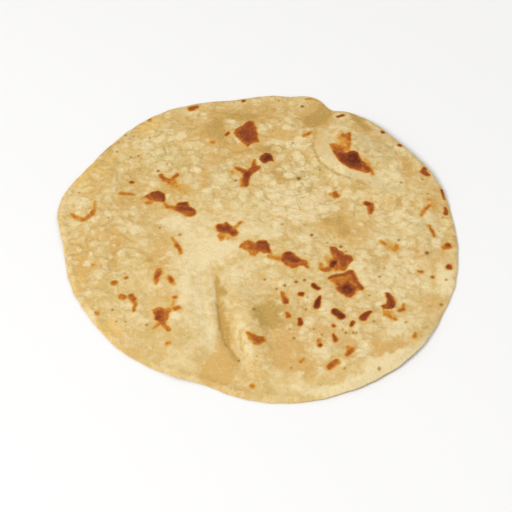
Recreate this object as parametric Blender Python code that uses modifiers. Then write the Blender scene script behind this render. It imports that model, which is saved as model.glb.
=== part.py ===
"""A chapati: one thin, round, griddle-baked flatbread, lying on a table.

Metres, +Z up. The origin lies on the table, under the middle of the bread. Seen
from above, +X is to the right and +Y is the far side.

The bread is one closed solid. A square cage of cells is bent into a disc with an
uneven hand-rolled outline, lifted off the table where the dough swells, thickened
upwards, and smoothed. Where nothing lifts it, its underside lies flat on the table.
"""

import math
from collections import namedtuple

import bmesh
import bpy

MM = 0.001

# Size of the rolled dough
MEAN_RADIUS = 100.2 * MM
DOUGH_THICKNESS = 2.2 * MM
RIM_THICKNESS = 1.5 * MM
RIM_THINS_FROM = 0.80  # share of the way from the middle to the rim

# Fineness of the cage: cells along one side, and rounds of smoothing
CAGE_CELLS = 20
SMOOTHING_LEVELS = 1

# How quickly three effects of the rim die away towards the middle
RIM_PULL_POWER = 8  # the cage's pull out to the circle
OUTLINE_POWER = 2  # the unevenness of the outline
RIM_WAVE_POWER = 6  # the waves that lift the rim

# How far the dough's own weight presses every swell down towards the table
TABLE_GRIP = 1.6 * MM

Lobe = namedtuple("Lobe", "count height bearing")
RimMark = namedtuple("RimMark", "bearing width height")
Swell = namedtuple("Swell", "x y length width bearing height")

# The outline's wide lobes: how many there are round the rim, how far they stand
# out, and the bearing in degrees of the first one
OUTLINE_LOBES = [
    Lobe(1, 2.2 * MM, 8),
    Lobe(2, 2.8 * MM, -46),
    Lobe(3, 1.5 * MM, 59),
]

# Bulges and dents of the outline: bearing and half-width in degrees, and height
FAR_NOTCH = RimMark(66, 2.6, -2.2 * MM)
FAR_SHOULDER = RimMark(73, 3.6, 3.4 * MM)
LEFT_CORNER = RimMark(168, 7, 2.8 * MM)
LEFT_DENT = RimMark(185, 7, -2.3 * MM)
OUTLINE_MARKS = [
    RimMark(20, 8, 1.3 * MM),
    RimMark(41, 9, -1.7 * MM),
    FAR_NOTCH,
    FAR_SHOULDER,
    RimMark(83, 5, 1.0 * MM),
    RimMark(98, 6, -1.9 * MM),
    RimMark(121, 6, 1.2 * MM),
    RimMark(147, 8, -1.2 * MM),
    LEFT_CORNER,
    LEFT_DENT,
    RimMark(227, 8, 1.5 * MM),
    RimMark(255, 6, -2.5 * MM),
    RimMark(280, 8, 0.9 * MM),
    RimMark(331, 6, -1.1 * MM),
]

# Swells and hollows of the sheet: centre, half-length, half-width, bearing of the
# long axis in degrees, and height
LOOSE_FLAP = Swell(55 * MM, 57 * MM, 28 * MM, 16 * MM, -48, 6.4 * MM)
NOTCH_VALLEY = Swell(33 * MM, 80 * MM, 16 * MM, 8 * MM, 65, -2.2 * MM)
NEAR_LEFT_LOBE = Swell(-35 * MM, -46 * MM, 34 * MM, 14 * MM, 98, 3.7 * MM)
FRONT_CREASE = Swell(-17 * MM, -52 * MM, 26 * MM, 6 * MM, -80, -3.2 * MM)
FRONT_RIDGE = Swell(-5 * MM, -60 * MM, 24 * MM, 8 * MM, -74, 3.8 * MM)
NEAR_RIGHT_FOLD = Swell(58 * MM, -74 * MM, 26 * MM, 9 * MM, 38, 4.0 * MM)
CENTRE_SWELL = Swell(18 * MM, -8 * MM, 30 * MM, 16 * MM, -25, 2.6 * MM)
LEFT_SWELL = Swell(-74 * MM, 8 * MM, 28 * MM, 14 * MM, 82, 3.0 * MM)
FAR_SWELL = Swell(-14 * MM, 74 * MM, 34 * MM, 13 * MM, 6, 3.0 * MM)
RIGHT_SWELL = Swell(85 * MM, -10 * MM, 26 * MM, 10 * MM, 96, 2.8 * MM)
SWELLS = [
    LOOSE_FLAP,
    NOTCH_VALLEY,
    NEAR_LEFT_LOBE,
    FRONT_CREASE,
    FRONT_RIDGE,
    NEAR_RIGHT_FOLD,
    CENTRE_SWELL,
    LEFT_SWELL,
    FAR_SWELL,
    RIGHT_SWELL,
]

# Waves that lift the rim only
RIM_WAVES = [
    Lobe(3, 1.2 * MM, 40),
    Lobe(5, 0.9 * MM, 100),
    Lobe(8, 0.4 * MM, 10),
]

DOUGH_COLOUR = (0.79, 0.63, 0.36, 1.0)
DOUGH_ROUGHNESS = 0.62


def clear_scene():
    """Removes every object, so that the script can be run again."""
    for thing in list(bpy.data.objects):
        bpy.data.objects.remove(thing, do_unlink=True)


def new_collection(name):
    """A fresh collection in the scene."""
    collection = bpy.data.collections.new(name)
    bpy.context.scene.collection.children.link(collection)
    return collection


def dough_material():
    """Plain baked dough."""
    material = bpy.data.materials.new("baked_dough")
    material.use_nodes = True
    shader = material.node_tree.nodes["Principled BSDF"]
    shader.inputs["Base Color"].default_value = DOUGH_COLOUR
    shader.inputs["Roughness"].default_value = DOUGH_ROUGHNESS
    shader.inputs["Metallic"].default_value = 0.0
    return material


def wave_sum(lobes, bearing):
    """Height of a set of waves that run round the rim, at a bearing in degrees."""
    return sum(
        lobe.height * math.cos(lobe.count * math.radians(bearing - lobe.bearing))
        for lobe in lobes
    )


def rim_radius(bearing):
    """Radius of the outline at a bearing in degrees."""
    radius = MEAN_RADIUS + wave_sum(OUTLINE_LOBES, bearing)
    for mark in OUTLINE_MARKS:
        turned = (bearing - mark.bearing + 180) % 360 - 180
        radius += mark.height * math.exp(-0.5 * (turned / mark.width) ** 2)
    return radius


def swell_height(swell, x, y):
    """Height of one swell or hollow over the point (x, y)."""
    turn = math.radians(swell.bearing)
    dx = x - swell.x
    dy = y - swell.y
    along = (dx * math.cos(turn) + dy * math.sin(turn)) / swell.length
    across = (dy * math.cos(turn) - dx * math.sin(turn)) / swell.width
    return swell.height * math.exp(-0.5 * (along * along + across * across))


def underside_height(x, y, share, bearing):
    """Height of the underside over the table; share is 0 in the middle, 1 at the rim."""
    height = sum(swell_height(swell, x, y) for swell in SWELLS)
    height += wave_sum(RIM_WAVES, bearing) * share**RIM_WAVE_POWER
    return max(0.0, height - TABLE_GRIP)


def square_to_disc(u, v):
    """Bends a square of half-side 1 into a disc of radius 1, with even cells.

    It is the mean of two ways of doing so: one keeps straight lines smooth, and
    the other keeps the cells near the four corners from closing up.
    """
    smooth_x = u * math.sqrt(1 - v * v / 2)
    smooth_y = v * math.sqrt(1 - u * u / 2)
    ring = max(abs(u), abs(v))
    if ring == 0:
        return 0.0, 0.0
    if abs(u) >= abs(v):
        turn = math.pi / 4 * v / u
        even_x = u * math.cos(turn)
        even_y = u * math.sin(turn)
    else:
        turn = math.pi / 4 * u / v
        even_x = v * math.sin(turn)
        even_y = v * math.cos(turn)
    x = (smooth_x + even_x) / 2
    y = (smooth_y + even_y) / 2
    # The mean falls just inside the circle, so the rim is pulled back out to it
    stretch = 1 + ring**RIM_PULL_POWER * (ring / math.hypot(x, y) - 1)
    return x * stretch, y * stretch


def thickness_share(share):
    """Thickness of the dough as a share of its full thickness."""
    along = max(0.0, (share - RIM_THINS_FROM) / (1 - RIM_THINS_FROM))
    return 1 - (1 - RIM_THICKNESS / DOUGH_THICKNESS) * along


def bent_sheet(name):
    """The underside of the bread as an open sheet, with its thickness in a group."""
    sheet = bmesh.new()
    bmesh.ops.create_grid(sheet, x_segments=CAGE_CELLS, y_segments=CAGE_CELLS, size=1.0)
    shares = []
    for vert in sheet.verts:
        unit_x, unit_y = square_to_disc(vert.co.x, vert.co.y)
        share = math.hypot(unit_x, unit_y)
        bearing = math.degrees(math.atan2(unit_y, unit_x))
        uneven = rim_radius(bearing) - MEAN_RADIUS
        radius = share * (MEAN_RADIUS + uneven * share**OUTLINE_POWER)
        x = radius * math.cos(math.radians(bearing))
        y = radius * math.sin(math.radians(bearing))
        vert.co = (x, y, underside_height(x, y, share, bearing))
        shares.append(thickness_share(share))
    mesh = bpy.data.meshes.new(name)
    sheet.to_mesh(mesh)
    sheet.free()
    mesh.shade_smooth()
    bread = bpy.data.objects.new(name, mesh)
    group = bread.vertex_groups.new(name="thickness")
    for index, share in enumerate(shares):
        group.add([index], share, "REPLACE")
    return bread


def thicken(bread):
    """Gives the sheet its thickness, upwards, thinner at the rim."""
    solidify = bread.modifiers.new("dough_thickness", "SOLIDIFY")
    solidify.thickness = DOUGH_THICKNESS
    solidify.offset = 1.0
    solidify.vertex_group = "thickness"
    solidify.thickness_vertex_group = 0.0


def soften(bread):
    """Rounds the rim and smooths the swells."""
    smoothing = bread.modifiers.new("soft_dough", "SUBSURF")
    smoothing.levels = SMOOTHING_LEVELS
    smoothing.render_levels = SMOOTHING_LEVELS


def centre_over_origin(bread):
    """Moves the sheet so that the finished bread's box stands over the origin."""
    bpy.context.view_layer.update()
    finished = bread.evaluated_get(bpy.context.evaluated_depsgraph_get())
    xs = [vert.co.x for vert in finished.data.vertices]
    ys = [vert.co.y for vert in finished.data.vertices]
    for vert in bread.data.vertices:
        vert.co.x -= (min(xs) + max(xs)) / 2
        vert.co.y -= (min(ys) + max(ys)) / 2
    bread.data.update()


def build_chapati(collection):
    """The whole bread, as one object."""
    bread = bent_sheet("chapati")
    collection.objects.link(bread)
    bread.data.materials.append(dough_material())
    thicken(bread)
    soften(bread)
    centre_over_origin(bread)
    return bread


def main():
    """Builds the bread in an empty scene."""
    clear_scene()
    build_chapati(new_collection("chapati"))
    bpy.context.view_layer.update()


main()
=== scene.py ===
"""The looks of one chapati: a thin, round, hand-rolled flatbread, just off the griddle.

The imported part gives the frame: metres, +Z up, with the origin on the table under the
middle of the bread. Sizes and places below are in millimetres in that same frame, seen
from above with +X to the right and +Y on the far side, and are turned into metres when
a mesh is made.
"""

import logging
import math
from dataclasses import dataclass, field
from enum import Enum

import bmesh
import bpy
import numpy as np
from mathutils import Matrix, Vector, noise


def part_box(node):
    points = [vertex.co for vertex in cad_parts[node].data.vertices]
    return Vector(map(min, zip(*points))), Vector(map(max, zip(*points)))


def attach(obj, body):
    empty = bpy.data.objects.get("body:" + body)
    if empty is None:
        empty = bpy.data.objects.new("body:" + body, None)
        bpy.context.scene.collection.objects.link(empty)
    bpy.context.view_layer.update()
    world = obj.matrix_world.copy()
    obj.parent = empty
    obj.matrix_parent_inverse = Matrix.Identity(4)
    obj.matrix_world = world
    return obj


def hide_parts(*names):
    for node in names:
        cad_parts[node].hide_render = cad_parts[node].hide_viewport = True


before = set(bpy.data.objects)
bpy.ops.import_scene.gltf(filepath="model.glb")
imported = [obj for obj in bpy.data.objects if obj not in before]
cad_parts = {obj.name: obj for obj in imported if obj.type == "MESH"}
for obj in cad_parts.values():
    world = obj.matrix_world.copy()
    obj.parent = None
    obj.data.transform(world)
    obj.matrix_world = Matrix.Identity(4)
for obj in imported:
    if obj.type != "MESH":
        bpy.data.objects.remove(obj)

MM = 0.001
Array = np.ndarray
Socket = bpy.types.NodeSocket
Point = tuple[float, float, float]  # x, y and a radius there
log = logging.getLogger("chapati")


class Tint(Enum):
    """What baking leaves on the dough, with some painted shade and highlights; each is a number from 0 to 1
    at every point.
    """

    CHAR = "char"
    FLECK = "fleck"
    TAN = "tan"
    OLIVE = "olive"
    GOLD = "gold"
    PALE = "pale"
    DULL = "dull"
    CRINKLE = "crinkle"


class Heat(Enum):
    """How far a stroke of a scorch mark has baked, from a faint haze to nearly black."""

    WARM = 0.24
    HAZE = 0.30
    GOLD = 0.42
    AMBER = 0.50
    ORANGE = 0.58
    RUST = 0.67
    RED_BROWN = 0.78
    DARK = 0.88
    BLACKENED = 1.0


class Side(Enum):
    """The two faces of the bread: which way is outwards for its relief."""

    TOP = 1
    UNDER = -1


# ---- Soft shapes that the form, the relief and the baking marks are all made of ----


def smooth_step(value: Array, low: float, high: float) -> Array:
    """Rises smoothly from 0 where the value is at low, to 1 where it is at high."""
    share = np.clip((value - low) / (high - low), 0.0, 1.0)
    return share * share * (3.0 - 2.0 * share)


def rough_field(x: Array, y: Array, cell: float, seed: float) -> Array:
    """Unevenness of about -1 to 1 at places in mm: the size of its bumps, and which one it is."""
    places = zip((x / cell).tolist(), (y / cell).tolist())
    return np.fromiter((noise.noise(Vector((u, v, seed))) for u, v in places), float, x.size)


@dataclass(frozen=True)
class Lobe:
    """Waves that run round the rim: how many, how high, and where the first one is."""

    count: int
    height: float
    bearing: float

    def at(self, bearing: Array) -> Array:
        """Height of the waves at bearings in degrees."""
        return self.height * np.cos(self.count * np.radians(bearing - self.bearing))


@dataclass(frozen=True)
class RimMark:
    """One bulge or dent of the outline: its bearing and half-width in degrees, and height."""

    bearing: float
    width: float
    height: float

    def at(self, bearing: Array) -> Array:
        """Height of the bulge at bearings in degrees."""
        turned = (bearing - self.bearing + 180.0) % 360.0 - 180.0
        return self.height * np.exp(-0.5 * (turned / self.width) ** 2)


@dataclass(frozen=True)
class RimRoll:
    """A thicker or thinner strip that follows the rim on its upper side.

    Attributes:
        first: Bearing where it starts, in degrees.
        last: Bearing where it ends, anticlockwise from the first.
        inset: How far inside the rim its middle runs, in mm.
        width: Its half-width in mm.
        height: How high it stands, in mm.
        full_share: How much of its length has the full height; it tapers beyond.
    """

    first: float
    last: float
    inset: float
    width: float
    height: float
    full_share: float = 0.6

    def at(self, bearing: Array, inside: Array) -> Array:
        """Height of the strip, given bearings and how far inside the rim places lie.

        Args:
            bearing: Bearings from the middle, in degrees.
            inside: How far inside the rim, in mm.

        Returns:
            Heights in mm.
        """
        middle = (self.first + self.last) / 2.0
        reach = (self.last - self.first) / 2.0
        turned = np.abs((bearing - middle + 180.0) % 360.0 - 180.0)
        along = smooth_step(turned, reach, self.full_share * reach)
        return self.height * along * np.exp(-(((inside - self.inset) / self.width) ** 2))


@dataclass(frozen=True)
class Spot:
    """A soft-edged oval: centre, half-length, half-width, bearing of its length, amount.

    The amount is a height in mm where the spot lifts the dough, and a share from 0 to 1
    where it tints it.
    """

    x: float
    y: float
    length: float
    width: float
    bearing: float
    amount: float

    def at(self, x: Array, y: Array) -> Array:
        """The spot's amount at places in mm.

        Args:
            x: Places to the right, in mm.
            y: Places away, in mm.

        Returns:
            An amount for each place.
        """
        turn = math.radians(self.bearing)
        dx = x - self.x
        dy = y - self.y
        along = (dx * math.cos(turn) + dy * math.sin(turn)) / self.length
        across = (dy * math.cos(turn) - dx * math.sin(turn)) / self.width
        return self.amount * np.exp(-0.5 * (along * along + across * across))


@dataclass(frozen=True)
class Stroke:
    """A tapered line: one end and its radius, the other end and its radius, all in mm."""

    x: float
    y: float
    radius: float
    to_x: float
    to_y: float
    to_radius: float

    def reach(self, x: Array, y: Array) -> tuple[Array, Array]:
        """Where places lie against the line.

        Args:
            x: Places to the right, in mm.
            y: Places away, in mm.

        Returns:
            The distance from the middle line, and the line's own radius there.
        """
        dx = self.to_x - self.x
        dy = self.to_y - self.y
        span = max(dx * dx + dy * dy, 1e-9)
        share = np.clip(((x - self.x) * dx + (y - self.y) * dy) / span, 0.0, 1.0)
        away = np.hypot(x - self.x - share * dx, y - self.y - share * dy)
        return away, self.radius + (self.to_radius - self.radius) * share


def chain(*points: Point) -> tuple[Stroke, ...]:
    """Strokes from point to point, each point given as x, y and radius."""
    if len(points) == 1:
        points = points * 2
    return tuple(Stroke(*start, *end) for start, end in zip(points, points[1:]))


def dots(*points: Point) -> tuple[Stroke, ...]:
    """Round flecks, each given as x, y and radius."""
    return tuple(Stroke(*point, *point) for point in points)


def spots(*ovals: tuple[float, ...]) -> tuple[Spot, ...]:
    """Spots, each given as x, y, length, width, bearing and amount."""
    return tuple(Spot(*oval) for oval in ovals)


class Trace:
    """What follows a line of strokes, and is strongest on it."""

    line: tuple[Stroke, ...]

    def profile(self, away: Array, radius: Array) -> Array:
        """How strong it is away from the middle of a stroke with that radius, from 0 to 1."""
        raise NotImplementedError

    def share(self, x: Array, y: Array) -> Array:
        """How strong it is at places in mm, from 0 to 1.

        Args:
            x: Places to the right, in mm.
            y: Places away, in mm.

        Returns:
            A share for each place.
        """
        strongest = np.zeros_like(x)
        for stroke in self.line:
            strongest = np.maximum(strongest, self.profile(*stroke.reach(x, y)))
        return strongest


@dataclass(frozen=True)
class Fold(Trace):
    """A ridge, or a crease where its height is negative, that follows a line of strokes."""

    height: float
    line: tuple[Stroke, ...]

    def profile(self, away: Array, radius: Array) -> Array:
        """A round back, falling away on both sides."""
        return np.exp(-((away / radius) ** 2))

    def at(self, x: Array, y: Array) -> Array:
        """Height of the fold at places in mm."""
        return self.height * self.share(x, y)


@dataclass(frozen=True)
class Stain(Trace):
    """A tinted band or patch that follows a line of strokes: amount, line and soft edge."""

    amount: float
    line: tuple[Stroke, ...]
    edge: float = 1.0

    def profile(self, away: Array, radius: Array) -> Array:
        """Even, with soft edges."""
        return smooth_step(radius - away, -self.edge, self.edge)

    def at(self, x: Array, y: Array) -> Array:
        """The stain's amount at places in mm."""
        return self.amount * self.share(x, y)


@dataclass(frozen=True)
class Scorch(Trace):
    """One part of a scorch mark: strokes that have baked to the same heat."""

    heat: Heat
    line: tuple[Stroke, ...]
    edge: float = 1.0
    depth: float = 0.45

    def profile(self, away: Array, radius: Array) -> Array:
        """Hottest along the middle, fading over the edge."""
        deep = np.maximum(self.edge / 2, self.depth * radius)
        return smooth_step(radius - away, -self.edge, deep)

    def at(self, x: Array, y: Array) -> Array:
        """Heat of the mark at places in mm."""
        return self.heat.value * self.share(x, y)


def strokes(heat: Heat, *lines: tuple[Point, ...]) -> tuple[Scorch, ...]:
    """Parts of scorch marks that share a heat, each line given as its points."""
    return tuple(Scorch(heat, chain(*line)) for line in lines)


def rounds(heat: Heat, *points: Point) -> tuple[Scorch, ...]:
    """Round scorch marks that share a heat, each given as x, y and radius."""
    return tuple(Scorch(heat, chain(point)) for point in points)


@dataclass(frozen=True)
class Blot:
    """One solid part of a scorch mark: its heat, and its outline as x and y in mm."""

    heat: Heat
    outline: tuple[tuple[float, float], ...]
    edge: float = 0.9
    depth: float = 0.2

    def at(self, x: Array, y: Array) -> Array:
        """Heat of the mark at places in mm, fading over its edge.

        Args:
            x: Places to the right, in mm.
            y: Places away, in mm.

        Returns:
            A heat from 0 to 1 for each place.
        """
        xs, ys = np.array(self.outline).T
        share = np.zeros_like(x)
        apart = np.maximum(
            np.maximum(xs.min() - x, x - xs.max()), np.maximum(ys.min() - y, y - ys.max())
        )
        near = np.flatnonzero(apart < self.edge)
        if near.size == 0:
            return share
        x, y = x[near], y[near]
        away = np.full(x.size, np.inf)
        inside = np.zeros(x.size, bool)
        for start, end in zip(self.outline, self.outline[1:] + self.outline[:1]):
            away = np.minimum(away, Stroke(*start, 0.0, *end, 0.0).reach(x, y)[0])
            rise = end[1] - start[1]
            if rise:
                crossing = start[0] + (y - start[1]) * (end[0] - start[0]) / rise
                inside ^= ((start[1] > y) != (end[1] > y)) & (x < crossing)
        share[near] = smooth_step(np.where(inside, away, -away), -self.edge, self.depth)
        return self.heat.value * share


# ---- The form of the rolled sheet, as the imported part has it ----

OUTLINE_LOBES = (Lobe(1, 2.2, 8), Lobe(2, 2.8, -46), Lobe(3, 1.5, 59))
OUTLINE_MARKS = (
    RimMark(20, 8, 1.3),
    RimMark(41, 9, -1.7),
    RimMark(66, 2.6, -2.2),
    RimMark(73, 3.6, 3.4),
    RimMark(83, 5, 1.0),
    RimMark(98, 6, -1.9),
    RimMark(121, 6, 1.2),
    RimMark(147, 8, -1.2),
    RimMark(168, 7, 2.8),
    RimMark(185, 7, -2.3),
    RimMark(227, 8, 1.5),
    RimMark(255, 6, -2.5),
    RimMark(280, 8, 0.9),
    RimMark(331, 6, -1.1),
)
SWELLS = (
    Spot(55, 57, 28, 16, -48, 6.4),  # loose flap
    Spot(33, 80, 16, 8, 65, -2.2),  # valley at the notch
    Spot(-35, -46, 34, 14, 98, 3.7),  # near left lobe
    Spot(-17, -52, 26, 6, -80, -3.2),  # front crease
    Spot(-5, -60, 24, 8, -74, 3.8),  # front ridge
    Spot(58, -74, 26, 9, 38, 4.0),  # near right fold
    Spot(18, -8, 30, 16, -25, 2.6),
    Spot(-74, 8, 28, 14, 82, 3.0),
    Spot(-14, 74, 34, 13, 6, 3.0),
    Spot(85, -10, 26, 10, 96, 2.8),
)
RIM_ROLLS = (
    RimRoll(-130, -28, 2.4, 1.8, 0.35),  # lip of the near rim
    RimRoll(-125, -32, 6.0, 2.2, -0.30),  # shallow trough inside it
    RimRoll(158, 232, 2.2, 1.5, 0.32),  # lip of the left rim
    RimRoll(160, 228, 5.4, 2.0, -0.28),  # shallow trough inside it
    RimRoll(95, 150, 2.0, 1.6, 0.20),  # lip of the far rim
    RimRoll(-20, 40, 2.2, 1.8, 0.22),  # lip of the right rim
)
RIM_WAVES = (Lobe(3, 1.2, 40), Lobe(5, 0.9, 100), Lobe(8, 0.4, 10))


@dataclass
class RolledSheet:
    """The broad form of the bread: outline, swells and thickness."""

    mean_radius: float = 100.2
    thickness: float = 2.2
    rim_thickness: float = 1.5
    rim_thins_from: float = 0.80
    rim_pull_power: int = 8
    outline_power: int = 2
    rim_wave_power: int = 6
    table_grip: float = 1.6
    ragged_height: float = 0.45
    ragged_cell: float = 6.5
    ragged_power: int = 40
    ragged_seed: float = 11.5

    def outline(self, bearing: Array) -> Array:
        """How far the outline stands out of the mean circle at bearings in degrees."""
        return sum(shape.at(bearing) for shape in OUTLINE_LOBES + OUTLINE_MARKS)

    def raggedness(self, bearing: Array) -> Array:
        """Small nicks and bumps that a rolling pin leaves along the rim.

        Args:
            bearing: Bearings from the middle, in degrees.

        Returns:
            How far they stand out, in mm.
        """
        turn = np.radians(bearing)
        x = self.mean_radius * np.cos(turn)
        y = self.mean_radius * np.sin(turn)
        return self.ragged_height * rough_field(x, y, self.ragged_cell, self.ragged_seed)

    def disc(self, u: Array, v: Array) -> tuple[Array, Array]:
        """Bends a square of half-side 1 into a disc of radius 1, with even cells.

        Args:
            u: Places across the square.
            v: Places up the square.

        Returns:
            The places in the disc, x and y.
        """
        smooth_x = u * np.sqrt(1 - v * v / 2)
        smooth_y = v * np.sqrt(1 - u * u / 2)
        ring = np.maximum(np.maximum(np.abs(u), np.abs(v)), 1e-9)
        wide = np.abs(u) >= np.abs(v)
        leading = np.where(wide, u, v)
        safe = np.where(np.abs(leading) < 1e-9, 1e-9, leading)
        turn = math.pi / 4 * np.where(wide, v, u) / safe
        even_x = leading * np.where(wide, np.cos(turn), np.sin(turn))
        even_y = leading * np.where(wide, np.sin(turn), np.cos(turn))
        x = (smooth_x + even_x) / 2
        y = (smooth_y + even_y) / 2
        away = np.maximum(np.hypot(x, y), 1e-9)
        stretch = 1 + ring**self.rim_pull_power * (ring / away - 1)
        return x * stretch, y * stretch

    def underside(self, x: Array, y: Array, share: Array, bearing: Array) -> Array:
        """Height of the underside over the table.

        Args:
            x: Places to the right, in mm.
            y: Places away, in mm.
            share: 0 in the middle of the bread, 1 at its rim.
            bearing: Bearings from the middle, in degrees.

        Returns:
            Heights in mm, nowhere below the table.
        """
        height = sum(swell.at(x, y) for swell in SWELLS)
        waves = sum(wave.at(bearing) for wave in RIM_WAVES)
        return np.maximum(0.0, height + waves * share**self.rim_wave_power - self.table_grip)

    def dough(self, share: Array) -> Array:
        """Thickness of the dough, which thins towards the rim."""
        along = np.clip((share - self.rim_thins_from) / (1 - self.rim_thins_from), 0.0, 1.0)
        return self.thickness + (self.rim_thickness - self.thickness) * along


# ---- The relief: folds, blisters and calm stretches ----


@dataclass(frozen=True)
class BlisterField:
    """Small bubbles, scattered over an oval stretch of the bread.

    Attributes:
        place: The oval they lie in; its amount is their height as a share of their radius.
        count: How many there are.
        smallest: Radius of the smallest, in mm.
        largest: Radius of the largest, in mm.
        stretch: How much longer than wide they are.
        bearing: The way they are stretched, in degrees.
        seed: Which scatter of them this is.
        small_bias: Above 1, small ones are commoner than large ones.
        turning: How far their bearings stray, in degrees.
        flattest: The least height, as a share of the greatest.
        stretches: The least and the most of the stretch that one takes.
        doming: Above 1, they are pointed rather than round.
    """

    place: Spot
    count: int
    smallest: float
    largest: float
    stretch: float
    bearing: float
    seed: int
    small_bias: float = 1.6
    turning: float = 28.0
    flattest: float = 0.45
    stretches: tuple[float, float] = (0.4, 1.2)
    doming: float = 1.5

    def height(self, x: Array, y: Array) -> Array:
        """Height of the blisters at places in mm.

        Args:
            x: Places to the right.
            y: Places away.

        Returns:
            Heights in mm; where blisters meet, the higher one shows.
        """
        draw = np.random.default_rng(self.seed)
        total = np.zeros_like(x)
        turn = math.radians(self.place.bearing)
        for _ in range(self.count):
            away = math.sqrt(draw.uniform(0.0, 1.0))
            around = draw.uniform(0.0, 2.0 * math.pi)
            along = self.place.length * away * math.cos(around)
            across = self.place.width * away * math.sin(around)
            centre_x = self.place.x + along * math.cos(turn) - across * math.sin(turn)
            centre_y = self.place.y + along * math.sin(turn) + across * math.cos(turn)
            growth = draw.uniform(0.0, 1.0) ** self.small_bias
            radius = self.smallest + (self.largest - self.smallest) * growth
            bearing = math.radians(self.bearing + draw.normal(0.0, self.turning))
            rise = self.place.amount * radius * draw.uniform(self.flattest, 1.0)
            longer = 1.0 + (self.stretch - 1.0) * draw.uniform(*self.stretches)
            near = np.flatnonzero(np.abs(x - centre_x) + np.abs(y - centre_y) < 3.0 * radius * longer)
            dx = x[near] - centre_x
            dy = y[near] - centre_y
            length = (dx * math.cos(bearing) + dy * math.sin(bearing)) / (radius * longer)
            width = (dy * math.cos(bearing) - dx * math.sin(bearing)) / radius
            dome = np.clip(1.0 - length * length - width * width, 0.0, 1.0) ** self.doming
            total[near] = np.maximum(total[near], rise * dome)
        return total


@dataclass
class BakedFace:
    """One face of the bread, as baking left it: its relief and its tints, some of which are painted shade
    and highlights.

    Attributes:
        side: Which face it is.
        folds: Ridges and creases.
        blisters: Fields of small bubbles.
        calm: Stretches that the griddle left smooth; the amount is how smooth.
        scorches: The parts of the scorch marks.
        flecks: Small dry brown dots.
        tints: Tinted patches and bands, for each tint.
        seed: Which unevenness the face reads.
        swell_height: Height of the broad unevenness in mm, and swell_cell its size.
        ripple_height: Height of the finer unevenness in mm, and ripple_cell its size.
        scorch_rise: How far the scorched dough stands up, in mm.
        union_power: How sharply the parts of a scorch mark join.
        waver: How far the edges of scorch marks stray in mm, and waver_cell how often.
        calming: How much of the ripple a calm stretch loses.
        raised_heat: The heats between which scorched dough rises.
        highlight_height: The heights of a blister between which a painted highlight turns its top pale, in
            mm.
        top_highlight: How strong the painted highlight on the top of a high blister is.
        fleck_edge: Where a fleck starts and where it is full, inside its radius, in mm.
    """

    side: Side
    folds: tuple[Fold, ...]
    blisters: tuple[BlisterField, ...]
    calm: tuple[Spot | Stain, ...]
    scorches: tuple[Scorch | Blot, ...]
    flecks: tuple[Stroke, ...]
    tints: dict[Tint, tuple[Spot | Stain, ...]]
    seed: float
    swell_height: float = 0.30
    swell_cell: float = 24.0
    ripple_height: float = 0.12
    ripple_cell: float = 8.0
    scorch_rise: float = 0.16
    union_power: float = 8.0
    waver: float = 0.55
    waver_cell: float = 3.2
    calming: float = 0.75
    raised_heat: tuple[float, float] = (0.25, 0.75)
    highlight_height: tuple[float, float] = (0.04, 0.30)
    top_highlight: float = 0.5
    fleck_edge: tuple[float, float] = (-0.7, 0.9)

    def calmness(self, x: Array, y: Array) -> Array:
        """How smooth the dough is at places in mm, from 0 to 1.

        Args:
            x: Places to the right, in mm.
            y: Places away, in mm.

        Returns:
            A share for each place.
        """
        rough = np.ones_like(x)
        for spot in self.calm:
            rough *= 1.0 - spot.at(x, y)
        return 1.0 - rough

    def char(self, x: Array, y: Array) -> Array:
        """How scorched the dough is at places in mm, from 0 to 1.

        Args:
            x: Places to the right.
            y: Places away.

        Returns:
            The heat there, with the marks' edges made to waver.
        """
        shifted_x = x + self.waver * rough_field(x, y, self.waver_cell, self.seed + 3.1)
        shifted_y = y + self.waver * rough_field(x, y, self.waver_cell, self.seed + 7.7)
        total = np.zeros_like(x)
        for scorch in self.scorches:
            total += scorch.at(shifted_x, shifted_y) ** self.union_power
        return np.clip(total ** (1.0 / self.union_power), 0.0, 1.0)

    def bubbles(self, x: Array, y: Array) -> Array:
        """Height of the blisters at places in mm, less where the dough is calm.

        Args:
            x: Places to the right, in mm.
            y: Places away, in mm.

        Returns:
            Heights in mm.
        """
        total = np.zeros_like(x)
        for blister in self.blisters:
            total = np.maximum(total, blister.height(x, y))
        return total * (1.0 - self.calmness(x, y))

    def relief(self, x: Array, y: Array) -> Array:
        """Height of the face over the smooth sheet, outwards.

        Args:
            x: Places to the right, in mm.
            y: Places away, in mm.

        Returns:
            Heights in mm.
        """
        rough = 1.0 - self.calming * self.calmness(x, y)
        height = self.swell_height * rough_field(x, y, self.swell_cell, self.seed)
        height += rough * self.ripple_height * rough_field(x, y, self.ripple_cell, self.seed + 1.3)
        height += sum(fold.at(x, y) for fold in self.folds)
        height += self.bubbles(x, y)
        height += self.scorch_rise * smooth_step(self.char(x, y), *self.raised_heat)
        return height

    def amounts(self, x: Array, y: Array) -> dict[Tint, Array]:
        """How much of each tint lies at each place.

        Args:
            x: Places to the right, in mm.
            y: Places away, in mm.

        Returns:
            For each tint, numbers from 0 to 1.
        """
        amounts = {}
        for tint, spots in self.tints.items():
            bare = np.ones_like(x)
            for spot in spots:
                bare *= 1.0 - np.clip(spot.at(x, y), 0.0, 1.0)
            amounts[tint] = 1.0 - bare
        # painted highlight: the top of each high blister is made paler
        painted_top_light = smooth_step(self.bubbles(x, y), *self.highlight_height) * self.top_highlight
        amounts[Tint.PALE] = np.clip(amounts[Tint.PALE] + painted_top_light, 0.0, 1.0)
        amounts[Tint.PALE] *= 1.0 - np.clip(2.0 * amounts[Tint.OLIVE], 0.0, 1.0)
        amounts[Tint.CRINKLE] *= 1.0 - self.calmness(x, y)
        amounts[Tint.CHAR] = self.char(x, y)
        fleck = np.zeros_like(x)
        for stroke in self.flecks:
            away, radius = stroke.reach(x, y)
            fleck = np.maximum(fleck, smooth_step(radius - away, *self.fleck_edge))
        amounts[Tint.FLECK] = fleck
        return amounts


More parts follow.
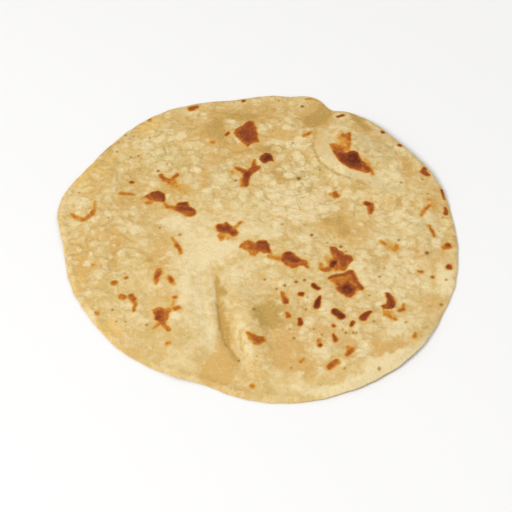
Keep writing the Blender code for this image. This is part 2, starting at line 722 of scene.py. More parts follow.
# ---- The upper face, mark by mark ----

TOP_FOLDS = (
    # the crease in front, between the near left lobe and the front ridge
    Fold(-0.35, chain((-21.5, -20, 1.8), (-19.6, -32, 2.2))),
    Fold(-0.55, chain((-19.4, -33, 2), (-18.2, -43, 2.2))),
    Fold(-0.88, chain((-18.2, -43, 2.1), (-17.5, -48, 2.2), (-16, -58, 2.2), (-14.5, -66, 2))),
    Fold(-0.25, chain((-19.6, -31, 1.2), (-18.4, -43, 1.1))),
    Fold(-0.6, chain((-18.2, -44, 1), (-16.2, -58, 1.1), (-13.5, -68, 1), (-8, -78, 0.9))),
    Fold(-0.5, chain((-14.5, -66, 2), (-11.5, -73, 2), (-7.5, -79, 1.6))),
    Fold(-0.45, chain((-17, -63, 2.2), (-20, -71, 2.4), (-26, -79, 2.4), (-33, -84, 2.2))),
    Fold(0.18, chain((-24, -28, 3.4), (-22.8, -42, 3.6))),
    Fold(0.35, chain((-22.6, -45, 3.6), (-20.5, -58, 3.2), (-23.5, -68, 3))),
    Fold(0.28, chain((-11.5, -40, 3), (-10, -52, 3.4), (-9.5, -62, 2.8))),
    Fold(-0.35, chain((-7.8, -62, 1.3), (-7, -70, 1.5), (-5.4, -79, 1.3))),
    Fold(0.25, chain((-3.5, -60, 2.4), (-2.5, -72, 2.6), (-1, -82, 2.2))),
    Fold(-0.25, chain((0.5, -84, 1.5), (6.5, -92, 1.6))),
    # the loose flap's pale border, the valley at the notch and the trough behind the flap
    Fold(0.75, chain(
        (40, 85, 2.2), (35.5, 73, 2.6), (34, 61, 2.8), (38, 51, 2.8), (47, 43.5, 2.8), (58, 37, 2.8),
    )),
    Fold(-0.4, chain(
        (31, 71, 1.4), (29.8, 60, 1.5), (33, 49, 1.5), (42, 40.5, 1.5), (52, 35, 1.3), (60, 31, 1.2),
    )),
    Fold(-0.75, chain((38, 90, 3.4), (33, 82, 4.2), (28, 76, 4))),
    Fold(-0.4, chain((55, 82, 2.8), (54, 73, 3.2), (58, 66, 2.4))),
    Fold(-0.25, chain((59, 66, 1.3), (63, 62, 1.3), (69, 60, 1.1))),
    # the near right fold and the trough behind it
    Fold(0.55, chain((50, -86, 2.6), (58, -81, 3), (66, -77, 3), (73, -72, 2.4))),
    Fold(-0.45, chain((53, -73, 3), (62, -70.5, 3.6), (72, -69, 2.8))),
    Fold(0.35, chain((49.5, -78, 1.8), (51, -72, 2), (54, -66, 1.8))),
    # long soft wrinkles
    Fold(0.3, chain((-28, 41, 2.2), (-17, 50, 2.4), (-5, 58, 2))),
    Fold(-0.28, chain((-27, 47, 1.8), (-19, 54, 2), (-9, 60, 1.8))),
    Fold(-0.22, chain((3, 33, 1.2), (6, 25, 1.3), (13, 18, 1.1))),
    Fold(-0.22, chain((-72, 6, 2.4), (-71, -8, 2.6), (-69, -20, 2))),
    Fold(-0.25, chain((-94.5, -12, 1), (-93.5, -24, 1.1), (-90, -38, 1))),
    Fold(0.28, chain((-91.5, -14, 1.6), (-91, -26, 1.8), (-87.5, -40, 1.6))),
    Fold(0.25, chain((93, -24, 2), (91, -38, 2.2), (85, -54, 2))),
    Fold(0.22, chain((-83, 15, 1.6), (-86, 20, 2.4), (-90, 17, 1.8))),
    Fold(-0.25, chain((35, -4, 1.6), (45, 1, 2), (49, 8, 1.6))),
)
TOP_BLISTERS = (
    BlisterField(Spot(0, 0, 93, 93, 0, 0.085), 520, 1.6, 4.6, 1.3, 20, 21),
    BlisterField(Spot(-42, 66, 36, 22, 20, 0.11), 150, 1.5, 3.6, 1.9, 5, 22),
    BlisterField(Spot(26, 46, 26, 36, 0, 0.11), 150, 1.4, 4.2, 1.4, 40, 23),
    BlisterField(Spot(32, -56, 28, 28, 0, 0.1), 130, 1, 2.6, 1.3, 0, 24),
    BlisterField(Spot(-78, 4, 18, 42, 0, 0.09), 90, 1.4, 3.6, 1.5, 80, 25),
    BlisterField(Spot(78, 12, 18, 48, 0, 0.09), 110, 1.2, 3.4, 1.3, 0, 26),
)
TOP_CALM = (
    *spots(
        (-33, -48, 24, 11, 98, 0.85), (-20, -10, 18, 11, 60, 0.75), (-6, -55, 16, 5, -82, 0.6),
        (14, -93, 14, 5, 5, 0.6), (60, -80, 12, 5, 35, 0.7), (38, 62, 14, 4, -70, 0.5),
        (94, -36, 16, 5, -75, 0.6), (-18, -79, 9, 8, 0, 0.7), (14, -73, 7, 4, 0, 0.7),
    ),
    Stain(0.9, chain(
        (40, 85, 1.8), (35.5, 73, 2.4), (34, 61, 2.6), (38, 51, 2.6), (47, 43.5, 2.6), (62, 35, 2.4),
    )),
)
TOP_SCORCHES = (
    # far triangle
    Blot(Heat.RUST, (
        (-11.7, 70.4), (-11, 72.4), (-9.2, 73.8), (-6.8, 75), (-5.6, 77), (-3.2, 79), (-1.4, 78.4),
        (-0.3, 75.4), (0.3, 71.4), (0.9, 67), (1.7, 64), (-0.8, 63.3), (-2.8, 62.6), (-4.2, 60.8),
        (-5.8, 61.8), (-7.6, 63.8), (-9.2, 66.2), (-11, 68.4),
    )),
    Blot(Heat.RED_BROWN, (
        (-9.4, 70.2), (-6, 74), (-3.6, 77.4), (-1.6, 76.6), (-0.8, 70.8), (0.6, 65), (-2.6, 64.2),
        (-4.6, 63), (-7.4, 66.4),
    )),
    *strokes(Heat.DARK, ((-4.2, 68.2, 1.2), (-4.8, 66, 0.9))),
    # dark round beside it
    Blot(Heat.DARK, (
        (1.7, 51.8), (2.3, 53.9), (3.6, 55.5), (5.2, 56.3), (6.8, 55.9), (8, 54.4), (8.5, 52.4),
        (9.5, 50.6), (7.6, 50.7), (6, 50.5), (4.4, 49.4), (2.8, 50.2),
    )),
    Blot(Heat.BLACKENED, ((3.6, 52), (4.6, 54.4), (6.4, 54.8), (7.4, 53), (7, 51.6), (4.4, 51.2))),
    # branched mark
    *strokes(Heat.HAZE, ((-12.3, 43.6, 1.4), (-12.1, 42.8, 1.2))),
    *strokes(Heat.AMBER, ((-6.9, 37.8, 1.2), (-6.8, 33.8, 1.4))),
    *strokes(Heat.ORANGE, ((-0.8, 50.8, 0.8), (-1, 48.8, 1.3), (-0.8, 46.4, 1.8))),
    *strokes(
        Heat.RUST,
        ((-1, 49.6, 0.8), (-0.8, 47.4, 1.1)), ((1.2, 45.9, 1.5), (-1.2, 45.2, 2.1), (-4, 42.2, 2.3)),
        ((-10.2, 45.9, 0.9), (-8, 44.5, 1.5), (-5.8, 42.9, 1.8)), ((-5.2, 37.4, 2.2), (-5.4, 34.4, 1.9)),
    ),
    *strokes(Heat.RED_BROWN, ((-3.4, 42.6, 1.8), (-4.8, 40.4, 2.1), (-5, 37, 2))),
    *strokes(Heat.DARK, ((-4.6, 42.2, 1.1), (-4.6, 38.8, 1.2))),
    # big drop on the loose flap
    Blot(Heat.ORANGE, (
        (38.3, 59.8), (39.2, 56.2), (41.2, 52.4), (46.2, 52.6), (45.4, 55), (44.4, 57.4), (42.4, 58.8),
        (40.6, 60.2),
    )),
    Blot(Heat.RUST, ((39.8, 57), (40.6, 53.4), (42.4, 50.6), (46.4, 51.4), (45.6, 54.2), (43.4, 56))),
    Blot(Heat.RED_BROWN, (
        (40.1, 54.6), (41.2, 51), (44.8, 45.6), (49.2, 42.2), (54.3, 40.1), (54.6, 45), (46, 50), (43, 54),
    )),
    Blot(Heat.DARK, (
        (42.1, 51.6), (45.4, 46.2), (49.6, 43.1), (53.6, 42.4), (55, 46.1), (53.2, 48.9), (52.8, 51.8),
        (51.1, 53.6), (48.7, 53.3), (47.3, 52), (45.4, 52.4), (43.1, 53.5),
    )),
    Blot(Heat.BLACKENED, (
        (48.2, 51.3), (51.4, 52.2), (52.5, 49.4), (53.4, 46), (50.7, 44.9), (47.2, 47.7),
    )),
    Blot(Heat.RUST, ((54.6, 47), (57, 45.2), (58.4, 42), (57.8, 38.8), (54.2, 40.2), (53, 43))),
    Blot(Heat.GOLD, (
        (42.6, 63.6), (44.4, 64.6), (49.2, 64.4), (49.6, 59), (48.8, 53.6), (46.4, 53.4), (44.6, 57.4),
        (42, 59.6),
    ), 1, 0.8),
    Blot(Heat.ORANGE, (
        (43.6, 64.8), (44.8, 66.4), (47.2, 65.4), (49.6, 67.4), (49.9, 63.8), (48.8, 61.6), (46.4, 61.6),
        (44.4, 63),
    ), 1, 0.8),
    *strokes(Heat.WARM, ((44.6, 67.4, 1.4), (42.6, 61, 1.4))),
    *strokes(Heat.HAZE, ((54.4, 49.4, 1.1), (56.8, 47.4, 1.3), (58.8, 43.6, 1))),
    *strokes(
        Heat.AMBER,
        ((57.4, 45, 1), (58.6, 41.2, 1.1), (59.6, 37.6, 1)),
        ((48.7, 62, 1.1), (48.5, 57.6, 1.1), (47.6, 54.8, 1.1)), ((44.4, 57.4, 1.3), (46.6, 54, 1)),
    ),
    *strokes(Heat.RED_BROWN, ((55.6, 43.6, 1.1), (57.2, 41.4, 1))),
    *strokes(Heat.DARK, ((43.8, 82.4, 1), (45.8, 83.3, 1))),
    # left pair and the thread between them
    Blot(Heat.RUST, (
        (-54.9, 27.4), (-52.6, 29), (-50.2, 29.9), (-48.5, 29.3), (-47.2, 27.4), (-46.3, 25), (-46.2, 22.5),
        (-47.8, 22.2), (-49.8, 22.7), (-51.8, 23.3), (-54.2, 23.4), (-55.9, 24.5), (-56.3, 26.2),
    )),
    Blot(Heat.RUST, (
        (-40, 21), (-38.6, 22), (-36.2, 22.2), (-34.6, 21.2), (-33.5, 19), (-31.4, 17.7), (-30.4, 16.2),
        (-30.9, 14.2), (-32.4, 12.5), (-34.4, 12.1), (-36.2, 13), (-37.6, 14.6), (-39.6, 15.6), (-40.4, 18),
    )),
    *strokes(Heat.HAZE, ((-58.8, 24, 1), (-56.4, 24.8, 1.4))),
    *strokes(Heat.AMBER, ((-55.4, 21, 1.2), (-53.4, 22.2, 1.7))),
    *strokes(Heat.ORANGE, ((-46, 21.4, 0.7), (-45, 19.2, 1), (-42.6, 18.6, 1.2), (-40.4, 17.4, 1.5))),
    *strokes(
        Heat.RED_BROWN,
        ((-51.6, 26.8, 1.6), (-49.6, 25.6, 1.6)), ((-38.9, 18.4, 1), (-38.8, 16.6, 1)),
    ),
    *strokes(
        Heat.DARK,
        ((-52.4, 28, 1), (-50, 28.4, 1.6), (-48, 27, 1.5), (-47.2, 23.4, 1)),
        ((-38.8, 20.7, 1), (-35.8, 21, 1.2)),
        ((-37.4, 18.2, 1.4), (-35.2, 17.6, 1.6), (-32.6, 16.8, 1.1)),
    ),
    # two blobs above the left pair, and the warm patch below them
    Blot(Heat.ORANGE, (
        (-49.6, 40.4), (-48.4, 41.3), (-46.8, 39.8), (-44.8, 38.8), (-43.4, 37.2), (-44, 35.4), (-46.4, 36),
        (-48.4, 37.4), (-49.8, 39),
    )),
    Scorch(Heat.GOLD, chain((-46, 37.2, 1.8), (-42.8, 36.2, 2.2)), 1.8),
    Scorch(Heat.HAZE, chain((-45, 36.4, 2.8), (-39.4, 32.6, 2.8)), 2.2),
    Scorch(Heat.WARM, chain((-44.6, 35.4, 4), (-36.5, 30.8, 3.4)), 2.6),
    *strokes(Heat.HAZE, ((-68.6, 31, 0.7), (-68.2, 24, 1), (-67.6, 20, 0.8))),
    *strokes(
        Heat.ORANGE,
        ((-40.8, 40.8, 0.9), (-42.8, 37.8, 1.2)), ((-68.6, 26.9, 1.2), (-62.6, 26.8, 1.1)),
    ),
    *strokes(
        Heat.RUST,
        ((-48.7, 40.4, 1.3), (-47.4, 38.2, 1.4)), ((-40.8, 40.8, 1.1), (-42.4, 38.8, 1)),
        ((-48.4, 39.4, 0.9), (-46.6, 38, 1)),
    ),
    *rounds(Heat.RED_BROWN, (-63.8, 35.5, 1.2)),
    # curl at the left
    *strokes(
        Heat.AMBER,
        ((-93.2, 14.2, 0.8), (-90.2, 11, 0.9), (-87, 9.4, 1.5)),
        ((-86.2, 9.8, 1.4), (-82.8, 12.4, 1.3), (-81.5, 16.4, 0.9), (-81.7, 21.2, 0.6)),
    ),
    *rounds(Heat.RUST, (-87.2, 9.6, 1)),
    # mark left of the middle
    Blot(Heat.RUST, (
        (-20, 5), (-19.3, 6.9), (-17.8, 7.2), (-16.6, 6.8), (-15.3, 8.5), (-14.1, 7.4), (-12.7, 6),
        (-11, 4.3), (-9.6, 3.2), (-9, 1.4), (-9.9, -0.5), (-12, -0.9), (-13.7, 0.4), (-15.4, 1.4),
        (-17.5, 2), (-19.6, 3.4),
    )),
    Blot(Heat.GOLD, (
        (-19.2, 0.8), (-18.4, -1.6), (-16.4, -3), (-14.2, -3.3), (-12.2, -2), (-11.2, 0.2), (-14.4, 1.2),
        (-17, 1.8),
    ), 1, 0.6),
    *strokes(Heat.HAZE, ((-16.4, 0.6, 1.6), (-11.4, -1.4, 1.6))),
    *strokes(
        Heat.AMBER,
        ((-11.4, 4.8, 1), (-9.4, 6.2, 0.7), (-8.2, 7.8, 0.7), (-7, 8.7, 0.7)),
        ((-18.4, -0.4, 1), (-16.8, -2.2, 1)),
    ),
    *strokes(Heat.RUST, ((-8.4, 7.6, 0.5), (-7.2, 8.6, 0.6))),
    *strokes(Heat.RED_BROWN, ((-14.6, 3.4, 1.6), (-12.4, 2, 1.6))),
    *strokes(
        Heat.DARK,
        ((-18.7, 5.4, 1.2), (-16.4, 4.4, 1.4)), ((-14.6, 6.2, 1), (-13.6, 4.2, 1.4)),
        ((-12, 0.8, 1), (-10.6, 1.4, 1)),
    ),
    # mark in the middle
    Blot(Heat.RUST, (
        (-0.4, -5.4), (1.2, -4.2), (3.4, -3.9), (5.3, -4.6), (6.4, -6.8), (7, -9.4), (7.6, -12.2),
        (5.6, -11.8), (3.6, -11.8), (1.2, -10.8), (-0.6, -9.2), (-1.2, -7.2),
    )),
    Blot(Heat.ORANGE, (
        (-8.4, -8.4), (-7.5, -6.4), (-5.9, -4.5), (-3.6, -3.6), (-1.5, -4.6), (-0.2, -6.6), (0, -9.2),
        (1, -11.4), (-0.5, -13.4), (-2.4, -13.3), (-3.6, -11), (-5.4, -10), (-7, -9),
    )),
    *strokes(Heat.GOLD, ((6.8, -12, 0.9), (7.4, -13.4, 0.7))),
    *strokes(Heat.RUST, ((-3.4, -5.6, 1.2), (-2, -7.6, 1.6), (-3, -9, 1.2))),
    *strokes(Heat.RED_BROWN, ((1.2, -7.8, 1.4), (3.4, -8.8, 1.5))),
    *strokes(Heat.DARK, ((1.8, -5.3, 1.1), (4.2, -5.6, 1.4), (5.7, -7.8, 1.2), (6, -10.2, 0.9))),
    # long mark right of the middle
    Blot(Heat.RUST, (
        (13, -13.4), (14.5, -11.8), (16.6, -11.4), (18.8, -12.7), (20.2, -14.8), (22, -16.1), (24.2, -16.7),
        (25.6, -18.6), (26.1, -21.8), (24.8, -21.2), (23.4, -19.9), (21.4, -20), (19.6, -21.4),
        (17.4, -21.4), (15.2, -19.9), (13.8, -18.2), (12.6, -16.6),
    )),
    *strokes(Heat.AMBER, ((5.6, -14.2, 0.7), (8, -14.9, 1.2), (10.6, -15.1, 1.5), (13.2, -16.4, 1.6))),
    *strokes(Heat.ORANGE, ((24.6, -18.6, 1), (25.5, -21, 0.9))),
    *strokes(Heat.RED_BROWN, ((15.4, -14.6, 2), (18.2, -15.4, 1.8))),
    *rounds(Heat.RED_BROWN, (13.6, -16.5, 0.9)),
    *strokes(
        Heat.DARK,
        ((14.8, -13.2, 1.2), (16.8, -12.9, 1.2)),
        ((16.2, -15.6, 1.4), (18, -17.2, 1.5), (20.6, -17, 1.2)),
    ),
    # forked mark on the right
    Blot(Heat.HAZE, (
        (36.4, -14), (39, -15.6), (41.4, -19.8), (43.8, -22.8), (38.6, -23.6), (35.2, -22.8), (35.2, -18.4),
    )),
    Blot(Heat.ORANGE, (
        (37, -15.6), (39, -16.6), (41, -19.6), (42.2, -22.4), (38.6, -22.4), (36, -22.2),
    )),
    Blot(Heat.RUST, (
        (36.6, -7.9), (39.7, -8), (40.6, -10.2), (42.4, -10.6), (44, -12.3), (47, -13.7), (47.7, -16),
        (46.3, -18.1), (44.8, -19.7), (44.1, -22.4), (42, -22.7), (41.2, -19.8), (40.4, -17.8), (38.9, -17),
        (38.2, -14.8), (37.7, -13.2), (36.9, -10.6),
    )),
    *strokes(Heat.HAZE, ((35, -14.6, 1.6), (36.4, -17, 1.6))),
    *strokes(Heat.AMBER, ((31.7, -19, 0.8), (32, -22.2, 1.1))),
    *strokes(Heat.RUST, ((36.8, -21, 1.3), (34.8, -22.5, 1.6), (32.6, -22.3, 1.1))),
    *strokes(
        Heat.RED_BROWN,
        ((41.2, -13, 1.4), (43, -15.6, 2.2), (43, -19.4, 1.2)),
        ((44.6, -14.8, 1.6), (46.2, -15.6, 1.2)),
    ),
    *strokes(Heat.BLACKENED, ((38.7, -18, 1.3), (37.6, -19.9, 1.4))),
    # big squarish mark below it
    Blot(Heat.ORANGE, (
        (34.6, -28.4), (36.4, -26.1), (39.4, -24.9), (42.4, -23.9), (45.6, -22.4), (47.8, -23.4),
        (49.4, -26.6), (50.6, -30), (52.1, -33.2), (52.8, -35.6), (50.4, -35.3), (48.9, -35.8), (48.2, -38),
        (46.2, -40), (43.4, -39.8), (41, -37.9), (38.8, -36.3), (38, -33), (37.6, -30.6), (36.2, -29.6),
    ), 0.9, 0.9),
    Scorch(Heat.RED_BROWN, chain(
        (36.2, -27.6, 0.9), (39.6, -26, 1), (42.6, -25.2, 0.9), (46.6, -24.2, 1.2),
    ), 0.9),
    Scorch(Heat.RED_BROWN, chain((47.6, -26, 0.9), (49.2, -30, 0.9), (51.4, -34.2, 1.2)), 0.9),
    Scorch(Heat.RUST, chain((39.4, -28.6, 0.9), (40, -31.6, 1)), 0.9),
    Blot(Heat.RED_BROWN, (
        (39, -33.6), (41.4, -32.4), (44.4, -29.6), (46.6, -31.6), (48.4, -34), (47.6, -37), (46, -39.2),
        (43.4, -39), (41, -37),
    )),
    Blot(Heat.BLACKENED, (
        (41.6, -34.2), (44.2, -31.4), (46.2, -33), (47.4, -34.6), (46.6, -36.8), (44.6, -37.8),
        (42.2, -36.6),
    )),
    # crescent near the right
    Blot(Heat.RED_BROWN, (
        (62.4, -37.2), (64.2, -37.2), (66.2, -39.6), (67.2, -42.4), (66.6, -45.6), (64.8, -47.2),
        (61.6, -46.6), (60.6, -45), (62.8, -43.6), (63.4, -40.8),
    )),
    Blot(Heat.GOLD, (
        (61, -47.6), (63.6, -48.4), (65.6, -48.4), (67.6, -52), (66.4, -54.4), (63, -52.6), (61.2, -50.4),
    ), 1, 0.3),
    *strokes(Heat.AMBER, ((62.4, -49, 0.9), (63.4, -51, 1.1), (65.4, -52.4, 1))),
    *strokes(
        Heat.RUST,
        ((63.2, -50.6, 0.7), (64.2, -51.4, 0.6)), ((66.2, -52.6, 0.6), (66.8, -53.6, 0.6)),
        ((71, -43.8, 0.4), (70.8, -47.2, 0.9), (68.6, -47.6, 0.7)),
    ),
    *strokes(Heat.DARK, ((63.8, -39, 0.8), (65.4, -42.2, 1), (65, -45.2, 1.1))),
    # the scattered marks near the front
    Blot(Heat.ORANGE, (
        (-4.4, -62.4), (-1.6, -63.4), (1.4, -64.8), (4, -64.6), (4.4, -66.6), (2, -69.4), (-0.8, -69.6),
        (-3.4, -67),
    )),
    Blot(Heat.RUST, (
        (-3.6, -63.6), (-0.2, -64.6), (3.6, -65.2), (3.6, -66.8), (1, -68.6), (-1.8, -66.9),
    )),
    *strokes(
        Heat.AMBER,
        ((29.8, -65.6, 1), (29.8, -67.4, 1.4)), ((43.2, -69.8, 0.9), (44.4, -71.4, 1)),
        ((75.2, -64.8, 1.2), (76, -62.6, 0.9)),
    ),
    *rounds(Heat.AMBER, (-1.6, -91.6, 1.3)),
    *strokes(
        Heat.ORANGE,
        ((14.6, -49.2, 0.9), (15.5, -51.4, 1.5)), ((20.8, -78, 1.3), (22.2, -77, 1.1)),
        ((44.8, -71.6, 1.7), (42.6, -75, 1.4)), ((34, -81.5, 1.8), (37.4, -79, 2.2)),
    ),
    *strokes(
        Heat.RUST,
        ((12.6, -37.4, 1.1), (14.4, -42, 1.7)), ((44.2, -73, 0.9), (42.4, -75.4, 0.9)),
        ((33.8, -82.2, 1), (35.4, -80.6, 0.8)),
    ),
    *strokes(Heat.RED_BROWN, ((36.6, -62.4, 0.8), (37.6, -65.2, 1.6))),
    *rounds(Heat.RED_BROWN, (14.6, -42.8, 1.2), (37, -57.4, 1)),
    *strokes(
        Heat.DARK,
        ((21.2, -37.8, 1), (22.4, -37.9, 1.1)), ((21.2, -53.2, 0.7), (21.2, -55.8, 1.2)),
        ((51.4, -52, 2.1), (52.6, -50.2, 1.4), (55.2, -48.6, 0.7)),
        ((46.4, -55.2, 1.1), (45.4, -56.6, 0.9)),
    ),
    *rounds(Heat.DARK, (30.5, -68.6, 1)),
    *strokes(
        Heat.BLACKENED,
        ((28, -32.2, 1.3), (30, -34.4, 1)), ((30.8, -39.8, 0.7), (29.2, -45.2, 1.8)),
        ((38, -48.4, 1.9), (40.6, -51.4, 2)),
    ),
    # marks of the near left quarter
    Blot(Heat.ORANGE, (
        (-49.8, -47.8), (-47.8, -46.9), (-45.8, -46.4), (-44, -47.8), (-41.6, -47), (-40.2, -48.8),
        (-42.2, -50.6), (-42, -52.4), (-42.8, -55), (-44.9, -55.3), (-46.6, -54.6), (-48.3, -53.6),
        (-48.6, -50.7),
    )),
    Blot(Heat.RUST, (
        (-48.6, -49), (-46, -48), (-44.2, -49.6), (-44.2, -52.4), (-45.8, -54), (-47.6, -53),
    )),
    Scorch(Heat.HAZE, chain((-47.4, -21.8, 1.6), (-47.6, -24.6, 2.2)), 1.2),
    Scorch(Heat.ORANGE, chain(
        (-42, -2.4, 0.5), (-39.6, -5.6, 0.8), (-38.6, -8.4, 1.5), (-36.9, -12.4, 0.9),
    ), 1.1),
    *strokes(
        Heat.HAZE,
        ((-43.8, -41.6, 0.9), (-42.8, -42.4, 1)), ((-39.6, -42, 0.7), (-39.8, -46.4, 0.8)),
        ((-42.6, -27.6, 1), (-40, -32.6, 1.2)),
    ),
    *rounds(Heat.GOLD, (-41.3, -68.1, 1.5)),
    *strokes(
        Heat.AMBER,
        ((-58.2, -44.2, 0.9), (-58.8, -48, 0.6)), ((-46.4, -56.6, 0.9), (-48.6, -58.6, 0.9)),
        ((-48.2, -28.6, 1.2), (-48.8, -31.6, 0.8)),
    ),
    *rounds(Heat.AMBER, (-80.2, -19.4, 1.1), (-76.2, -49.4, 1.1)),
    *strokes(
        Heat.ORANGE,
        ((-65.2, -39.2, 1.6), (-63.8, -39.8, 1.5)), ((-59.2, -41, 1.5), (-58.2, -44.2, 0.8)),
        ((-45, -55, 1.3), (-43.6, -57.6, 1.3), (-41.4, -60.4, 0.9)),
        ((-47.6, -23.6, 1.9), (-48.2, -28.6, 1.6)), ((-42.2, -28.8, 1), (-41, -31, 1.1)),
    ),
    *rounds(Heat.ORANGE, (-39.2, -41, 1.1)),
    *strokes(
        Heat.RUST,
        ((-60.6, -39.2, 1.6), (-59.4, -40.8, 1.6)), ((-38.6, -48.2, 1.3), (-37.4, -47.8, 1.5)),
        ((-47.4, -25.4, 1), (-48, -27.6, 0.8)), ((-69.4, -30.8, 1.5), (-68.4, -30.4, 1.2)),
        ((-41.8, -29.4, 0.6), (-41.2, -30.6, 0.6)), ((-39, -7.6, 1), (-38, -9.8, 1.1)),
    ),
    *rounds(Heat.RUST, (-63.4, -27.4, 1)),
    *strokes(Heat.RED_BROWN, ((-46.8, -50, 1.3), (-46.6, -52.4, 1.4))),
    *rounds(Heat.DARK, (-46.6, -52.8, 1.2)),
    # marks at the right
    Scorch(Heat.HAZE, chain((88.6, 22, 2), (90.4, 18.4, 2)), 1.3),
    Scorch(Heat.HAZE, chain((65, -5.8, 2.6), (69, -8.6, 2.8)), 1.4),
    *strokes(Heat.GOLD, ((37.8, 27.2, 0.8), (40, 26.6, 1.6)), ((69.6, -7.2, 1.1), (68.6, -9.8, 1.2))),
    *strokes(
        Heat.AMBER,
        ((88.2, 19, 0.9), (85.4, 16.4, 1), (83.2, 11.8, 0.9)),
        ((86.8, 5.8, 0.7), (88.2, 2.6, 0.8), (88.6, -0.6, 0.9)),
    ),
    *strokes(
        Heat.ORANGE,
        ((40.2, 28, 1.2), (40.8, 26.4, 1.8)), ((57.8, 16.4, 1.5), (57.5, 14.6, 0.9)),
        ((93.2, -7.8, 1.2), (96, -7.2, 1.4)), ((62.6, -4.4, 1.1), (63.8, -5.8, 0.9)),
    ),
    *strokes(Heat.RUST, ((58.4, 19.6, 1.5), (58.2, 17.6, 1.8)), ((79.8, -23.4, 0.6), (81.6, -23.7, 0.9))),
    *rounds(Heat.RUST, (40.8, 26.8, 1)),
    *rounds(Heat.RED_BROWN, (95.4, -6.2, 1.7), (86.4, -26.8, 0.9)),
    *strokes(Heat.DARK, ((55.8, 21.2, 1.2), (57.2, 20.4, 1.2))),
    *rounds(Heat.DARK, (95, -20.4, 1.6)),
    # marks at the far rim
    *strokes(Heat.GOLD, ((27.4, 97.4, 0.9), (30.2, 97.6, 0.9))),
    *strokes(
        Heat.ORANGE,
        ((24.8, 68.4, 0.9), (26.6, 69.2, 1.1), (29, 70.6, 0.7)), ((-24, 63.4, 0.7), (-22.6, 63.7, 1.1)),
    ),
    *rounds(Heat.ORANGE, (-56.6, 81.6, 1.1)),
    *strokes(Heat.RUST, ((-35, 89.6, 2), (-31.8, 91, 1.4)), ((25.4, 68.7, 0.5), (27.4, 69.7, 0.6))),
    *strokes(
        Heat.RED_BROWN,
        ((87.1, 43.8, 1.1), (86.3, 41.7, 1.8), (88.2, 39.7, 1.2)),
        ((95, 30.4, 0.7), (95.4, 27.6, 0.8), (95.8, 24.6, 0.6)),
        ((95.8, 18.2, 0.8), (96.3, 16.6, 0.8), (95.6, 14.8, 1)), ((-16, 68.6, 0.8), (-14.8, 69.8, 0.8)),
    ),
    *rounds(Heat.RED_BROWN, (-6.8, 96, 1.2)),
    *rounds(Heat.DARK, (75.3, 60, 1.3), (66.7, 69.2, 1.2)),
)


TOP_FLECKS = dots(
    (-10.5, 37, 1), (-12.2, 42.9, 1), (22, 38.5, 1.5), (24.8, 91.2, 1.2), (12.8, 78.8, 0.7), (9, 71.5, 0.6),
    (19.3, 63.5, 0.7), (33, 44.3, 0.8), (13.2, 7, 0.8), (27.8, -0.2, 1.1), (42.2, -7.5, 1.1),
    (44.5, -10.7, 0.8), (35.5, -5, 0.8), (84.5, -12, 1.3), (92.8, -28.5, 0.8), (89.3, -43.8, 1.1),
    (71.5, -55.5, 0.8), (71.1, -3.2, 0.9), (94.2, 12, 0.7), (85.3, 36, 0.8), (87.4, 26.7, 0.7),
    (74.2, 33, 0.8), (23.7, -28.9, 1.1), (19.6, -30, 1.2), (14, -32.4, 1), (4.3, -28.4, 0.9),
    (10, -34.5, 0.9), (24, -47.2, 0.9), (18, -64.5, 0.9), (16, -59.2, 0.7), (31.2, -62.5, 0.8),
    (27.5, -59, 0.8), (16.5, -81.7, 0.8), (-8, -77, 0.8), (0.5, -76, 0.6), (42.7, -61.2, 0.9),
    (46.2, -61.2, 0.9), (47.6, -61.3, 0.8), (41.3, -59.3, 0.7), (56.3, -54.3, 0.9), (54.8, -38.4, 0.8),
    (57.3, -83.3, 1), (41.3, -83, 0.8), (24.8, -40, 0.6), (20.4, -43.2, 0.6), (3.8, -47, 0.7),
    (-1, -47.6, 1), (-38, 0, 0.9), (-48.2, 4.5, 0.8), (-41.8, -2, 0.8), (-52, -56.6, 0.8),
    (-74.3, 9.8, 0.6), (-90.4, 29, 0.8), (-92.6, 19.8, 0.6), (-93.4, 14.2, 0.6), (-82, 22, 0.5),
    (-72.6, 57.8, 0.9), (-65.2, 53.6, 0.9), (-61.2, 54.6, 0.9), (-46.2, 48.6, 0.7), (-50.6, 43.6, 1),
    (-64.6, 69.2, 0.8), (-56, 67.8, 0.7), (-57, 81.8, 0.9), (-68.6, 70, 0.9), (-72.4, 65.2, 0.9),
    (-7.8, 7.8, 0.7), (-93, -33.6, 0.9), (-66.6, -54.2, 0.6), (-62.4, -54.5, 0.6), (-69, -47.2, 0.8),
    (12.2, 96, 0.7), (60.4, -26.9, 0.8), (63, -21.3, 0.6), (79.8, -11, 0.6), (91.8, 2.8, 0.5),
    (99, -0.4, 0.6),
)
